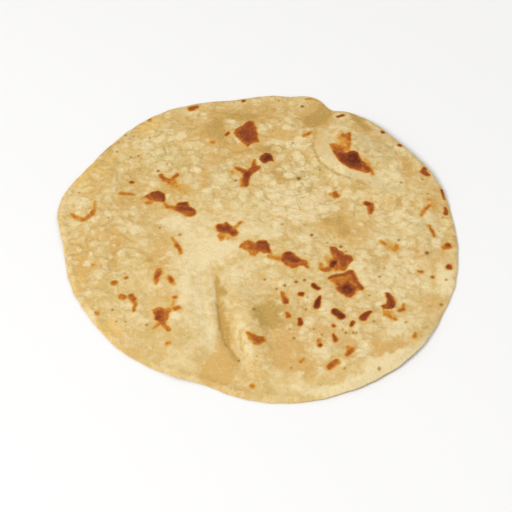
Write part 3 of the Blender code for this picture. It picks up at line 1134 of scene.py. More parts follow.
# Tints of the upper face; some tan and olive ones are painted shade and some pale ones painted highlights,
# as marked below.
TOP_TINTS = {
    Tint.TAN: (
        *spots(
            (22, -25, 22, 13, -20, 0.12), (58, 44, 30, 22, -45, 0.08), (0, 84, 34, 8, 4, 0.3),
            (-19, 72, 15, 11, 0, 0.4), (6, 57, 16, 7, -5, 0.45), (18, 70, 12, 6, 0, 0.22),
            (21, -60, 8, 6, 0, 0.3), (-45, -10, 8, 44, 0, 0.38), (-46, 28, 7, 8, 0, 0.3),
            (-54, -6, 10, 10, 0, 0.22), (-66, 22, 10, 8, 0, 0.25), (24, -50, 16, 12, 0, 0.35),
            (8, -68, 12, 10, 0, 0.14), (32, -72, 14, 10, 0, 0.3), (6, 6, 12, 14, 0, 0.2),
            (-8, -6, 10, 8, 0, 0.25), (-84, -10, 7, 14, 10, 0.35), (-84, 38, 6, 9, 25, 0.35),
            (40, -58, 30, 22, 0, 0.09), (22, 40, 16, 22, 0, 0.2), (38, 33, 7, 4, 0, 0.35),
            (14, -73, 7, 5, 0, 0.36), (-6, 86, 15, 3.6, 4, 0.55), (-14, 82, 8, 3.4, 0, 0.45),
            (-20, 72, 7, 3, 80, 0.45), (-18, 66, 6, 3, 85, 0.4), (-8, 57, 6, 3, 10, 0.4),
            (-21, 52, 6, 3, 35, 0.45), (-25, 41, 8, 3.2, 80, 0.4), (12, 41, 4, 6, 90, 0.4),
            # the three spots on this line: painted shade in the hollow at the notch
            (33, 79, 5, 6, 60, 0.8), (36, 86, 3.5, 6, 30, 0.75), (33, 92, 3, 5, 10, 0.55),
            # this line: painted shade in the trough behind the loose flap
            (55, 79, 2.6, 6, 10, 0.55), (54, 71, 3, 4, 30, 0.45), (60, 67, 5, 2, -35, 0.35),
            # the first spot on this line: the same painted shade behind the loose flap
            (65, 61, 3, 4, 0, 0.35), (78, 43, 3, 6, 0, 0.45), (71, 53, 5, 3, 0, 0.3),
            (41, 9, 7, 7, 0, 0.65), (46, 1, 4, 5, 30, 0.45), (55, 6, 3.4, 5, 0, 0.4),
            (10, 12, 3.4, 3.4, 0, 0.4), (15.5, -1.5, 3.6, 3.4, -20, 0.42), (80, -13, 3.4, 8, 0, 0.4),
            # the last spot on this line: painted shade in the trough behind the near right fold
            (87, -17, 3, 3, 0, 0.45), (84, -43, 5, 4, 0, 0.6), (62, -73, 11, 4.4, 5, 0.6),
            # the first spot on this line: the same painted shade behind the near right fold
            (70, -71, 4, 3, 0, 0.45), (-16, -76, 5, 6, 0, 0.5), (-22, -82, 5, 4, 30, 0.5),
            # this line: painted shade along the front crease
            (-15, -66, 3, 8, 0, 0.35), (-16.5, -57, 2, 8, 5, 0.38), (-18.5, -42, 1.8, 9, 5, 0.18),
            # the first spot on this line: painted shade along the front crease; the second: painted shade
            # along the long crease at the left
            (-20.5, -27, 1.6, 7, 10, 0.3), (-71, -6, 3, 12, 5, 0.45), (-64, -3, 3, 5, 0, 0.3),
            (-56, -70, 5, 5, 0, 0.35), (-48, -18, 4, 4, 0, 0.5), (-78, 52, 5, 5, 50, 0.45),
            (-84, 44, 5, 4, 60, 0.4), (-50, 81, 5, 4, 30, 0.5), (-66, 38, 6, 6, 0, 0.42),
            (-54, 54, 16, 11, 20, 0.16), (36, 30, 4.4, 3.4, 0, 0.45), (86, -13, 8, 9, 0, 0.28),
            (-37, -46, 3, 6, 0, 0.3), (-26, 58, 4, 4, 0, 0.36), (-34, 74, 6, 4, 0, 0.36),
            (-36, -43, 3.4, 4, 0, 0.36), (-28, 28, 4, 5, 0, 0.25), (-60, 72, 2.4, 4, 0, 0.25),
            (15, 69, 8, 3, -8, 0.3), (31, 67, 3, 6, 20, 0.3), (3, -45, 6, 5, 0, 0.18),
            (20, -82, 9, 4, 5, 0.3), (17, -70, 7, 6, 0, 0.25), (-82, 30, 3, 4, 0, 0.35),
            (-88, -8, 5, 4, 0, 0.35), (-66, 21, 5, 3, 0, 0.35), (13, 13, 6, 5, 0, 0.48),
            (88, 30, 5, 6, 0, 0.35), (90, 21, 3, 4, 0, 0.45), (93, -13, 3, 3, 0, 0.35),
        ),
        # these two stains: painted shade along the front crease
        Stain(0.4, chain((-21, -19, 0.2), (-19, -30, 0.8)), 2),
        Stain(0.44, chain(
            (-18.8, -30, 0.4), (-16.8, -42, 1.3), (-15.2, -56, 1.8), (-12.6, -66, 1.4),
        ), 1.4),
        Stain(0.6, chain((-24, 86, 2.4), (-8, 85, 4.4), (2, 82, 3)), 2.6),
        # painted shade in the trough behind the loose flap
        Stain(0.75, chain((51, 85, 1.6), (55, 78, 2.8), (59, 69, 2)), 1.6),
        # painted shade in the hollow at the notch
        Stain(0.62, chain((27, 82, 3.4), (32, 86, 4), (38, 92, 3)), 2.6),
        Stain(0.85, chain((11, 47, 2), (11, 41, 3), (14, 35, 2.6)), 1.2),
        Stain(0.55, chain((77, 50, 1.8), (79, 40, 2.4)), 1.8),
        Stain(0.5, chain((-87, -8, 2.2), (-86, -20, 2.6), (-83, -30, 1.8)), 2),
        # painted shade along the long crease at the left
        Stain(0.75, chain((-70.5, 0, 1.6), (-69.5, -10, 2.4), (-70, -19, 1.4)), 1.4),
        Stain(0.5, chain((-27, 46, 1.4), (-25, 38, 1.8), (-26, 32, 1.4)), 1.4),
        Stain(0.95, chain((-15.8, -69.5, 0.8), (-18.4, -77, 3.4), (-21.4, -86, 4.6)), 0.9),
        Stain(0.8, chain((-12.6, -75, 2), (-12.6, -82, 4.2), (-15, -88, 3.6)), 1),
        Stain(0.34, chain((10, -70, 2.4), (16, -78, 3.2), (24, -86, 3.4)), 2.2),
        Stain(0.5, chain((92, -46, 1.2), (88, -54, 1.6)), 1.2),
        # painted shade in the trough behind the near right fold
        Stain(0.95, chain((55, -72.4, 2.4), (62.5, -73, 4), (70.5, -71, 2.8)), 1.2),
        Stain(0.9, chain((34.5, 8, 3.6), (41, 9, 5), (44, 2, 3.4)), 1.2),
    ),
    Tint.OLIVE: (
        *spots(
            (5.2, -52.4, 4.6, 5.8, 0, 0.8), (10, -40, 4, 6, 30, 0.3), (14, -56, 5, 4, 0, 0.12),
            (2, -47.5, 5, 2.4, -30, 0.5), (-11, 83, 7, 2.6, 0, 0.5), (4, 60, 4, 2.2, 0, 0.5),
            (57, 53, 1.6, 2.4, 0, 0.45), (72, 21, 3, 3, 0, 0.45), (54, 31, 4, 4, 0, 0.42),
            (58, -17, 3, 8, 0, 0.3), (46, 0, 4, 3, 20, 0.35), (-52.5, -16, 1.4, 2, 0, 0.55),
            (-90, -12.2, 1.8, 1.2, -30, 0.55), (-61, 44.5, 2, 1.6, 0, 0.4), (-78, 60, 4, 2.4, 50, 0.5),
            (-70, 66, 3, 1.6, 50, 0.4), (-67, 18.5, 2, 2.4, 0, 0.35), (-72, -57.5, 3.4, 2, -25, 0.4),
            (19, 6, 5, 2, -35, 0.25), (13, -46, 3, 2, 0, 0.3), (38, -39, 4, 1.6, 20, 0.25),
            # the last spot on this line: painted shade in the hollow at the notch
            (22, -53, 4, 5, 0, 0.25), (33, -60, 5, 4, 0, 0.25), (35, 80, 4, 5, 40, 0.45),
            (-5, 81, 3, 1.6, 0, 0.35), (-24, 72, 3.6, 5, 0, 0.55), (-60, 47, 5, 5, 0, 0.22),
            # the last spot on this line: painted shade in the front crease
            (84, -12, 5, 4, 0, 0.3), (-34, 72, 4, 3, 0, 0.25), (-13, -57, 1.2, 6, 0, 0.25),
            (81, -57, 2, 3, 0, 0.4), (75, -3, 4, 2, 20, 0.25),
        ),
        # painted shade along the front crease
        Stain(0.42, chain(
            (-19, -30, 0.3), (-17.2, -42, 1.4), (-15.4, -56, 1.9), (-12.8, -67, 1.3),
        ), 1.5),
        # painted shade in the hollow at the notch
        Stain(0.4, chain((35, 92, 2), (38, 86, 2.4), (30, 79, 4)), 2.6),
        Stain(0.34, chain((-23, 85.5, 2.2), (-8, 84, 3.4), (0, 82, 2.4)), 2.4),
        # painted shade in the trough behind the loose flap
        Stain(0.3, chain((52, 84, 1.2), (55, 77, 1.8), (58, 70, 1.4)), 1.6),
        # painted shade in the hollow at the notch
        Stain(0.9, chain((38, 91, 2.6), (35, 85, 4.2), (30, 80, 4)), 2.4),
        # painted shade in the trough behind the loose flap
        Stain(0.5, chain((51, 84, 1.6), (55, 77, 2.4), (59, 70, 1.8)), 1.6),
        # these four stains: painted shade along the front crease and its lower end
        Stain(0.34, chain((-21.6, -20, 0.2), (-19.8, -30, 0.4)), 1.4),
        Stain(0.5, chain((-19.6, -24, 0.5), (-18.4, -30, 1.2), (-15.6, -37, 2)), 1.4),
        Stain(0.7, chain(
            (-19.4, -31, 0.1), (-18.2, -44, 0.7), (-16.2, -58, 1), (-13.5, -68, 0.9),
        ), 1.2),
        Stain(0.6, chain((-13.5, -68, 0.8), (-8, -78, 0.7)), 0.9),
        # painted shade in the crease along the outside of the loose flap's pale border
        Stain(0.55, chain(
            (31.5, 72, 0.7), (29.8, 60, 0.8), (33, 49, 0.8), (42, 40.5, 0.8), (56, 33, 0.5),
        ), 0.9),
        Stain(0.46, chain((36, 9, 3), (41, 9, 4.4), (44, 3, 2.8)), 1.6),
        Stain(0.34, chain((9, 44, 2), (13, 37, 2.4)), 2),
        Stain(0.3, chain((77, 50, 1.6), (79, 40, 2)), 2),
        Stain(0.55, chain((-20.5, 80, 2.2), (-19, 71, 3), (-17, 64, 1.8)), 1.8),
        Stain(0.45, chain((-10, 56, 1.2), (-4, 58, 2)), 1.6),
        # painted shade along the soft wrinkle from (3, 33)
        Stain(0.6, chain(
            (2.5, 34, 0.2), (4.4, 27, 0.3), (9.5, 20, 0.3), (17, 18.2, 0.2), (25, 16.6, 0.1),
        ), 0.8),
        Stain(0.6, chain((18, 47, 0.1), (22, 43.6, 0.3), (29, 42.6, 0.3), (34.5, 37.5, 0.2)), 0.8),
        # painted shade along the crease beside the front ridge
        Stain(0.42, chain((-7.6, -61, 0.3), (-6.9, -70, 0.6), (-5, -80, 0.4)), 1.2),
        Stain(0.55, chain((24, 57, 0.1), (26.5, 52, 0.3), (25, 47, 0.2)), 0.8),
        Stain(0.55, chain((13, 27, 0.1), (20, 26.4, 0.3), (27, 29, 0.2)), 0.8),
    ),
    Tint.GOLD: (
        *spots(
            (-82, 2, 26, 52, 0, 0.13), (-62, -62, 24, 12, -45, 0.14), (-60, 66, 34, 10, 42, 0.12),
            (86, 0, 8, 40, 0, 0.05), (-60, 34, 18, 24, 0, 0.08), (-14, 85, 12, 4, 0, 0.28),
            (-54, 56, 18, 13, 30, 0.13), (-80, -44, 3, 4, 30, 0.25), (-70, -58, 6, 3, -45, 0.32),
            (-88, -30, 3, 6, 0, 0.45), (-90, 36, 3, 8, 25, 0.55), (-85, 47, 3, 6, 30, 0.6),
            (-56, 78, 6, 2.4, 30, 0.5),
        ),
        Stain(0.2, chain((-97, 12, 1.5), (-97, -8, 2), (-96, -22, 2)), 2),
        Stain(0.2, chain((-92, -36, 2), (-84, -50, 2.4), (-74, -62, 2.4), (-62, -73, 2)), 2),
    ),
    Tint.DULL: (
        *spots(
            (56, 62, 12, 12, -40, 0.35), (-36, -50, 12, 26, 5, 0.26), (-8, -30, 14, 14, 0, 0.3),
            (72, 2, 16, 20, 0, 0.35), (66, 56, 14, 10, -40, 0.3), (26, -42, 14, 10, 0, 0.25),
            (-24, 46, 8, 12, 0, 0.4), (14, 28, 22, 8, 10, 0.25),
        ),
        Stain(0.75, chain(
            (37, 86, 2), (33.5, 73, 4), (32, 62, 5.2), (38, 50, 5.6), (50, 40, 4.8), (62, 34, 4),
            (72, 29, 2.6),
        ), 1.8),
    ),
    Tint.CRINKLE: (
        *spots(
            (0, 0, 300, 300, 0, 0.28), (-48, 62, 36, 22, 15, 0.85), (22, 44, 26, 34, 0, 0.85),
            (72, 14, 20, 40, 0, 0.6), (30, -54, 28, 24, 0, 0.35), (-80, 2, 16, 40, 0, 0.65),
        ),
    ),
    Tint.PALE: (
        *spots(
            (-24, -24, 20, 24, 0, 0.26), (76, -18, 15, 36, 0, 0.22), (31, -71, 6, 4, 10, 0.45),
            # the last spot on this line: painted highlight on the near right fold
            (34, -50, 16, 16, 0, 0.24), (2, 14, 26, 12, 30, 0.3), (60, -82, 22, 6, 32, 0.3),
            (-41, 8, 4.6, 4, 0, 0.75), (-14, 79, 2.8, 2, 0, 0.4), (-30, 84, 5, 3, 0, 0.12),
            (-31, 72, 3, 2.2, 0, 0.3), (10, 62.5, 5, 2.4, -5, 0.35), (25, 47, 5, 6, 0, 0.45),
            (-20, 39, 4, 4, 0, 0.35), (-56, 64.5, 3, 2.4, 0, 0.5), (-42, 68, 3.2, 2.4, 0, 0.45),
            (42, 78, 3, 4, 0, 0.45), (75, 57, 4, 2, -30, 0.6), (40, 47, 8, 2.4, -42, 0.35),
            (68, 36, 6, 3, -10, 0.4), (12, 23.5, 5, 1.8, 5, 0.45), (33, 19, 4, 4, 0, 0.45),
            (23.4, -1.4, 4.4, 3.2, 0, 0.45), (18.5, 14.5, 5, 3.2, -30, 0.42), (29.5, 17, 4, 3.2, 0, 0.4),
            (28.5, 25, 4.4, 3, 0, 0.3), (12.5, 5.5, 4, 3.4, 0, 0.3), (-25, -10, 8, 8, 0, 0.35),
            (-14, -8, 4, 3, 0, 0.4), (-31, -40, 20, 6.5, 97, 0.35), (12, 28, 18, 4, 0, 0.35),
            (50, -15, 12, 9, 0, 0.28), (0, -61, 6, 5, 0, 0.3), (28, -58, 6, 7, 0, 0.25),
            (24, -14, 8, 7, 0, 0.25), (45, 85, 3, 3, 0, 0.5), (-21.5, -62, 2.4, 8, 0, 0.35),
            (60, -29, 6, 6, 0, 0.3), (72, -20, 8, 6, 0, 0.2), (90, 0, 3, 6, 0, 0.3),
            # the second and third spots on this line: painted highlights on the front ridge
            (20, 62, 5, 7, 0, 0.35), (-8, -58, 2, 10, 0, 0.25), (-3, -72, 2, 7, 8, 0.4),
            (84.6, -15.6, 2, 2, 0, 0.5), (87, 9, 4, 2.4, 0, 0.3), (93, -29, 3, 7, 5, 0.75),
            # this line: painted highlights on the near right fold
            (68, -77, 4, 2.4, 40, 0.95), (60, -80, 5, 2.4, 25, 0.75), (68.5, -57.5, 2.4, 3, 0, 0.65),
            # this line: painted highlights on the near right fold and its ridge
            (51, -73, 1.8, 5, 15, 0.65), (83, -66, 2, 4, -40, 0.55), (78, -70, 2, 4, -42, 0.6),
            # the first spot on this line: painted highlight near the right fold; the other two: painted
            # highlights on the near rim's lip
            (66, -60, 3, 3, 0, 0.45), (29, -95, 6, 1.8, 6, 0.75), (18, -92, 6, 2.6, 0, 0.4),
            # the first spot on this line: painted highlight on the near rim's lip
            (46, -91, 6, 2.2, 20, 0.6), (-39, -52.5, 1.4, 2, 0, 0.55), (-63, -44.5, 3, 2, 0, 0.45),
            # this line: painted highlights on the left rim's lip
            (-94, -24, 1.6, 9, 3, 0.65), (-92, -40, 2, 5, 15, 0.55), (-80, -52, 1.6, 4, 35, 0.65),
            # the first spot on this line: painted highlight on the left rim's lip
            (-78, -57, 4, 1.2, -50, 0.55), (-89, 19, 3, 3, 0, 0.35), (-60, 3, 4, 3, 0, 0.35),
            (-10, -24, 3, 3, 0, 0.35), (8, -25, 3, 1.8, 0, 0.45), (50, -20, 3, 5, 0, 0.3),
            (-35, 86, 3, 2.4, 0, 0.45), (72, 10, 5, 5, 0, 0.2), (5, 47, 2.6, 2, 0, 0.35),
        ),
    ),
}


# ---- The underside, which baked first: marks and patches scattered by chance ----


@dataclass(frozen=True)
class ChanceBaking:
    """Marks and patches that fall by chance, the same ones each time.

    Attributes:
        seed: Which scatter this is.
        reach: Radius of the disc they fall in, in mm.
        least_radius: Radius of the smallest scorch mark, in mm.
        more_radius: How much more the largest has, in mm.
        stride: Length of a scorch mark's stroke, in radii.
        tapers: The least and the most that a stroke's end has of its start's radius.
        fleck_radii: Radii of the smallest and the largest fleck, in mm.
        patch_sizes: The least and the most of a patch's half-length and half-width, in mm.
        faintest: The faintest patch, as a share of the strongest.
    """

    seed: int
    reach: float = 90.0
    least_radius: float = 0.9
    more_radius: float = 2.0
    stride: float = 1.5
    tapers: tuple[float, float] = (0.5, 1.1)
    fleck_radii: tuple[float, float] = (0.7, 1.3)
    patch_sizes: tuple[float, float] = (3.0, 9.0)
    faintest: float = 0.5

    def places(self, draw: np.random.Generator, count: int) -> list[tuple[float, float]]:
        """Evenly scattered places in the disc.

        Args:
            draw: The source of chance.
            count: How many places.

        Returns:
            Their x and y in mm.
        """
        away = self.reach * np.sqrt(draw.uniform(0.0, 1.0, count))
        around = draw.uniform(0.0, 2.0 * math.pi, count)
        return list(zip(away * np.cos(around), away * np.sin(around)))

    def scorches(self, count: int) -> tuple[Scorch, ...]:
        """Scorch marks of one to three strokes each.

        Args:
            count: How many marks.

        Returns:
            Their parts.
        """
        draw = np.random.default_rng(self.seed)
        heats = list(Heat)[2:]  # all but the two faintest
        parts = []
        for x, y in self.places(draw, count):
            radius = self.least_radius + self.more_radius * draw.uniform(0.0, 1.0) ** 2
            for _ in range(draw.integers(1, 4)):
                to_x, to_y = (x, y) + draw.normal(0.0, self.stride * radius, 2)
                to_radius = radius * draw.uniform(*self.tapers)
                heat = heats[int(draw.integers(0, len(heats)))]
                parts.append(Scorch(heat, chain((x, y, radius), (to_x, to_y, to_radius))))
                x, y, radius = to_x, to_y, to_radius
        return tuple(parts)

    def flecks(self, count: int) -> tuple[Stroke, ...]:
        """Round dry flecks, as many as asked for."""
        draw = np.random.default_rng(self.seed + 1)
        return dots(*((x, y, draw.uniform(*self.fleck_radii)) for x, y in self.places(draw, count)))

    def patches(self, count: int, turn: int, amount: float) -> tuple[Spot, ...]:
        """Soft tinted patches.

        Args:
            count: How many.
            turn: Which of the scatters, so that no two tints share their places.
            amount: The strongest tint.

        Returns:
            The patches.
        """
        draw = np.random.default_rng(self.seed + 10 * turn)
        patches = []
        for x, y in self.places(draw, count):
            length, width = draw.uniform(*self.patch_sizes, 2)
            bearing = draw.uniform(0.0, 180.0)
            patches.append(Spot(x, y, length, width, bearing, amount * draw.uniform(self.faintest, 1.0)))
        return tuple(patches)


def top_face() -> BakedFace:
    """The browner face, which lies upwards."""
    return BakedFace(
        Side.TOP, TOP_FOLDS, TOP_BLISTERS, TOP_CALM, TOP_SCORCHES, TOP_FLECKS, dict(TOP_TINTS), 0.5
    )


def under_face() -> BakedFace:
    """The paler face, which lies on the table.

    Returns:
        The face, the same one each time.
    """
    chance = ChanceBaking(71)
    tints = {
        Tint.TAN: chance.patches(46, 1, 0.5),
        Tint.OLIVE: chance.patches(18, 2, 0.4),
        Tint.GOLD: chance.patches(14, 4, 0.5),
        Tint.DULL: chance.patches(12, 5, 0.4),
        Tint.PALE: chance.patches(40, 3, 0.55),
        Tint.CRINKLE: (Spot(0, 0, 400, 400, 0, 0.6),),
    }
    blisters = (BlisterField(Spot(0, 0, 92, 92, 0, 0.07), 420, 2.0, 4.8, 1.3, 0, 31),)
    return BakedFace(
        Side.UNDER, (), blisters, (), chance.scorches(58), chance.flecks(60), tints, 40.5, swell_height=0.1
    )


# ---- Finishes ----


def shade(red: int, green_highlight: int, blue: int) -> tuple[float, float, float, float]:
    """A colour as seen on a screen, 0 to 255, as the shader's linear colour."""
    linear = [
        part / 12.92 if part <= 0.04045 else ((part + 0.055) / 1.055) ** 2.4
        for part in (red / 255, green_highlight / 255, blue / 255)
    ]
    return (*linear, 1.0)


class NodeBench:
    """Lays out the shader nodes of one material, and builds up its colour in layers."""

    def __init__(self, name: str) -> None:
        """Starts a material of that name with its one surface shader.

        Args:
            name: What the material is called.
        """
        self.material = bpy.data.materials.new(name)
        self.material.use_nodes = True
        self.tree = self.material.node_tree
        self.shader = self.tree.nodes["Principled BSDF"]
        self.places = self.add("ShaderNodeTexCoord").outputs["Object"]
        self.colour: object = None

    def add(self, kind: str, inputs: dict | None = None, **settings: object) -> bpy.types.Node:
        """Adds a node.

        Args:
            kind: The node's type.
            inputs: What its sockets are fed with, by their name or number.
            **settings: Its properties.

        Returns:
            The node.
        """
        node = self.tree.nodes.new(kind)
        for key, value in settings.items():
            setattr(node, key, value)
        for key, source in (inputs or {}).items():
            self.feed(node.inputs[key], source)
        return node

    def feed(self, socket: Socket, source: object) -> None:
        """Links a socket to another one, or sets it to a plain value."""
        if isinstance(source, Socket):
            self.tree.links.new(source, socket)
        else:
            socket.default_value = source

    def rough_pattern(self, size: float, detail: float, seed: float, roughness: float) -> bpy.types.Node:
        """A noise pattern: size of its bumps in mm, finer layers, seed and the layers' strength."""
        inputs = {"W": seed, "Scale": 1.0 / (size * MM), "Detail": detail, "Roughness": roughness}
        return self.add("ShaderNodeTexNoise", {"Vector": self.places, **inputs}, noise_dimensions="4D")

    def noise(self, size: float, detail: float, seed: float, roughness: float = 0.55) -> Socket:
        """Unevenness from 0 to 1, given as for rough_pattern."""
        return self.rough_pattern(size, detail, seed, roughness).outputs["Fac"]

    def warp(self, amount: float, size: float, seed: float) -> Socket:
        """The places on the bread, pushed about so that a pattern on them isn't regular.

        Args:
            amount: How far they are pushed, in mm.
            size: Size of the push's own unevenness, in mm.
            seed: Shifts the pattern.

        Returns:
            The pushed places.
        """
        colours = self.rough_pattern(size, 2.0, seed, 0.5).outputs["Color"]
        push = self.move("SUBTRACT", colours, (0.5, 0.5, 0.5))
        push = self.move("MULTIPLY", push, (4.0 * amount * MM,) * 3)
        return self.move("ADD", self.places, push)

    def move(self, operation: str, first: object, second: object) -> Socket:
        """The result of one operation on two places."""
        node = self.add("ShaderNodeVectorMath", {0: first, 1: second}, operation=operation)
        return node.outputs["Vector"]

    def bubble(self, feature: str, places: Socket, size: float) -> bpy.types.Node:
        """A pattern of packed cells: which of its measures, where, and how wide a cell is in mm."""
        inputs = {"Vector": places, "Scale": 1.0 / (size * MM)}
        return self.add("ShaderNodeTexVoronoi", inputs, feature=feature, voronoi_dimensions="2D")

    def raise_surface(self, *layers: tuple[Socket, float]) -> None:
        """Adds fine relief, as layers of a value and its height in mm."""
        total = 0.0
        for value, height in layers:
            total = self.plus(total, self.times(value, height))
        bump = self.add("ShaderNodeBump", {"Distance": MM, "Height": total})
        self.feed(self.shader.inputs["Normal"], bump.outputs["Normal"])

    def amount(self, tint: Tint) -> Socket:
        """How much of a tint the mesh carries at each point."""
        return self.add("ShaderNodeAttribute", attribute_name=tint.value).outputs["Fac"]

    def spread(
        self,
        value: object,
        low: float,
        high: float,
        to_low: float = 0.0,
        to_high: float = 1.0,
        smooth: bool = False,
    ) -> Socket:
        """Maps one span of a value onto another, and stops at its ends.

        Args:
            value: What is mapped.
            low: Start of its span.
            high: End of its span.
            to_low: What the start becomes.
            to_high: What the end becomes.
            smooth: Whether the ends are eased.

        Returns:
            The mapped value.
        """
        inputs = dict(enumerate((value, low, high, to_low, to_high)))
        easing = "SMOOTHSTEP" if smooth else "LINEAR"
        return self.add("ShaderNodeMapRange", inputs, interpolation_type=easing).outputs["Result"]

    def combine(self, operation: str, first: object, second: object) -> Socket:
        """The result of one operation on two values."""
        return self.add("ShaderNodeMath", {0: first, 1: second}, operation=operation).outputs[0]

    def plus(self, first: object, second: object) -> Socket:
        """The sum of two values."""
        return self.combine("ADD", first, second)

    def times(self, first: object, second: object) -> Socket:
        """The product of two values."""
        return self.combine("MULTIPLY", first, second)

    def mix(self, share: object, first: object, second: object) -> Socket:
        """Mixes two colours; the share is how much of the second one there is."""
        return self.add("ShaderNodeMix", {0: share, 6: first, 7: second}, data_type="RGBA").outputs[2]

    def lay(self, share: object, paint: object) -> None:
        """Lays a share of a colour over what lies there so far."""
        self.colour = self.mix(share, self.colour, paint)

    def ramp(self, value: object, stops: tuple[tuple[float, tuple], ...]) -> Socket:
        """Colours along a value.

        Args:
            value: Where on the ramp.
            stops: Each stop's place and colour, in order.

        Returns:
            The colour there.
        """
        node = self.add("ShaderNodeValToRGB", {"Fac": value})
        stones = node.color_ramp.elements
        while len(stones) < len(stops):
            stones.new(1.0)
        for stone, (place, colour) in zip(stones, stops):
            stone.position = place
            stone.color = colour
        return node.outputs["Color"]


@dataclass(frozen=True)
class Crust:
    """Patterns that both the colours and the fine relief of the dough are made from.

    Attributes:
        zone: How crinkled the dough is.
        dome: The round top of each little bubble; in the colour it carries a painted highlight.
        line: The fine creases between the bubbles; in the colour it is their painted shade.
        valley_shade: Painted shade in the wider hollows along those creases.
        tones: Two numbers of each bubble's own.
        pebble: The same for the smallest bubbles.
        mottle: Soft unevenness of the tone.
        flake: Finer and sharper unevenness.
        ragged: What makes the edges of patches ragged, from -1 to 1.
        dry: The colour of dry dough; it is also laid as painted shade in the hollows between bubbles.
    """

    zone: Socket
    dome: Socket
    line: Socket
    valley_shade: Socket
    tones: tuple[Socket, Socket]
    pebble: Socket
    mottle: Socket
    flake: Socket
    ragged: Socket
    dry: Socket


@dataclass(frozen=True)
class DoughFinish:
    """Baked wheat dough: cream, tan where it is thin, browned where it blistered, with painted highlights on
    its little bubbles and painted shade between them.

    Attributes:
        char: The colour of each heat, and where on the scale from 0 to 1 it lies.
        bubble_size: Width of a little bubble of the crinkled dough, in mm.
        pebble_size: Width of the smallest bubbles, in mm.
        patch_strength: The most that a tint covers.
    """

    cream: tuple = shade(223, 194, 132)
    wheat: tuple = shade(214, 181, 117)
    # pale crumb tone for mottling and grain, and also the painted highlight on the round bubble domes
    crumb_and_highlight: tuple = shade(231, 211, 161)
    # painted highlight, greenish, on the round domes of some bubbles
    green_highlight: tuple = shade(215, 202, 145)
    # painted shade along the fine creases between the bubbles
    crease: tuple = shade(172, 142, 84)
    tan: tuple = shade(211, 169, 98)
    khaki: tuple = shade(199, 169, 99)
    olive: tuple = shade(187, 150, 77)
    dull: tuple = shade(214, 192, 142)
    gold: tuple = shade(229, 189, 108)
    pale: tuple = shade(236, 216, 167)
    bran: tuple = shade(176, 134, 76)
    fleck: tuple = shade(132, 80, 36)
    halo: tuple = shade(206, 164, 86)
    umber: tuple = shade(158, 104, 44)
    char: tuple = (
        (0.08, shade(216, 172, 96)),
        (0.26, shade(212, 160, 72)),
        (0.42, shade(204, 138, 50)),
        (0.56, shade(187, 110, 37)),
        (0.69, shade(162, 84, 34)),
        (0.82, shade(141, 67, 31)),
        (0.95, shade(120, 54, 26)),
        (1.00, shade(97, 41, 18)),
    )
    bubble_size: float = 5.4
    pebble_size: float = 2.7
    patch_strength: float = 0.92
    roughness: float = 0.62
    gloss: float = 0.10

    def cells(self, bench: NodeBench, size: float, seed: float) -> tuple[Socket, Socket, Socket]:
        """Uneven little bubbles packed side by side.

        Args:
            bench: Where the nodes go.
            size: How wide a bubble is, in mm.
            seed: Which of the patterns it is.

        Returns:
            The distance from each bubble's edge in mm, and two numbers of its own.
        """
        places = bench.move("MULTIPLY", bench.warp(0.42 * size, 0.9 * size, seed), (0.75, 1.0, 1.0))
        edge = bench.bubble("DISTANCE_TO_EDGE", places, size).outputs["Distance"]
        own = bench.bubble("F1", places, size).outputs["Color"]
        parts = bench.add("ShaderNodeSeparateColor", {0: own})
        return bench.times(edge, size), parts.outputs[0], parts.outputs[1]

    def crust(self, bench: NodeBench) -> Crust:
        """Lays out the patterns of the dough.

        Args:
            bench: Where the nodes go.

        Returns:
            The patterns.
        """
        zone = bench.amount(Tint.CRINKLE)
        edge, *tones = self.cells(bench, self.bubble_size, 1.0)
        pebble_edge, pebble, _ = self.cells(bench, self.pebble_size, 2.0)
        broken = bench.spread(bench.noise(4.6, 4.0, 3.0, 0.62), 0.46, 0.60)
        unbroken = bench.spread(broken, 0.0, 1.0, 1.0, 0.0)
        wide_line = bench.times(bench.spread(edge, 0.0, 1.2, 0.9, 0.0, True), broken)
        fine_line = bench.times(bench.spread(pebble_edge, 0.0, 0.7, 0.24, 0.0, True), unbroken)
        drier = bench.spread(bench.noise(15.0, 2.0, 16.0), 0.44, 0.56)
        return Crust(
            zone=zone,
            dome=bench.times(bench.spread(edge, 0.2, 1.9, smooth=True), zone),
            line=bench.times(bench.combine("MAXIMUM", wide_line, fine_line), zone),
            # painted shade: a share of the dry colour, strongest at the bubbles' edges
            valley_shade=bench.times(bench.spread(edge, 0.2, 2.0, 0.30, 0.0, True), zone),
            tones=tuple(tones),
            pebble=bench.times(pebble, zone),
            mottle=bench.noise(9.0, 4.0, 5.0),
            flake=bench.noise(3.9, 3.0, 12.0, 0.62),
            ragged=bench.spread(bench.noise(3.6, 4.0, 6.0), 0.25, 0.75, -1.0, 1.0),
            dry=bench.mix(drier, self.tan, self.khaki),
        )

    def lay_dough(self, bench: NodeBench, crust: Crust) -> None:
        """Lays the plain dough: broad tones, mottling and small flakes.

        Args:
            bench: Where the nodes go, and the colour so far.
            crust: The patterns of the dough.
        """
        broad = bench.spread(bench.noise(38.0, 2.0, 4.0), 0.35, 0.65)
        bench.colour = bench.mix(broad, self.cream, self.wheat)
        bench.lay(bench.spread(crust.mottle, 0.52, 0.60, 0.0, 0.42), self.crumb_and_highlight)
        bench.lay(bench.spread(crust.mottle, 0.48, 0.40, 0.0, 0.50), crust.dry)
        flaky = bench.spread(crust.zone, 0.0, 0.8, 0.35, 1.0)
        bench.lay(bench.times(bench.spread(crust.flake, 0.52, 0.57, 0.0, 0.58, True), flaky), self.pale)
        bench.lay(bench.times(bench.spread(crust.flake, 0.46, 0.40, 0.0, 0.52, True), flaky), crust.dry)

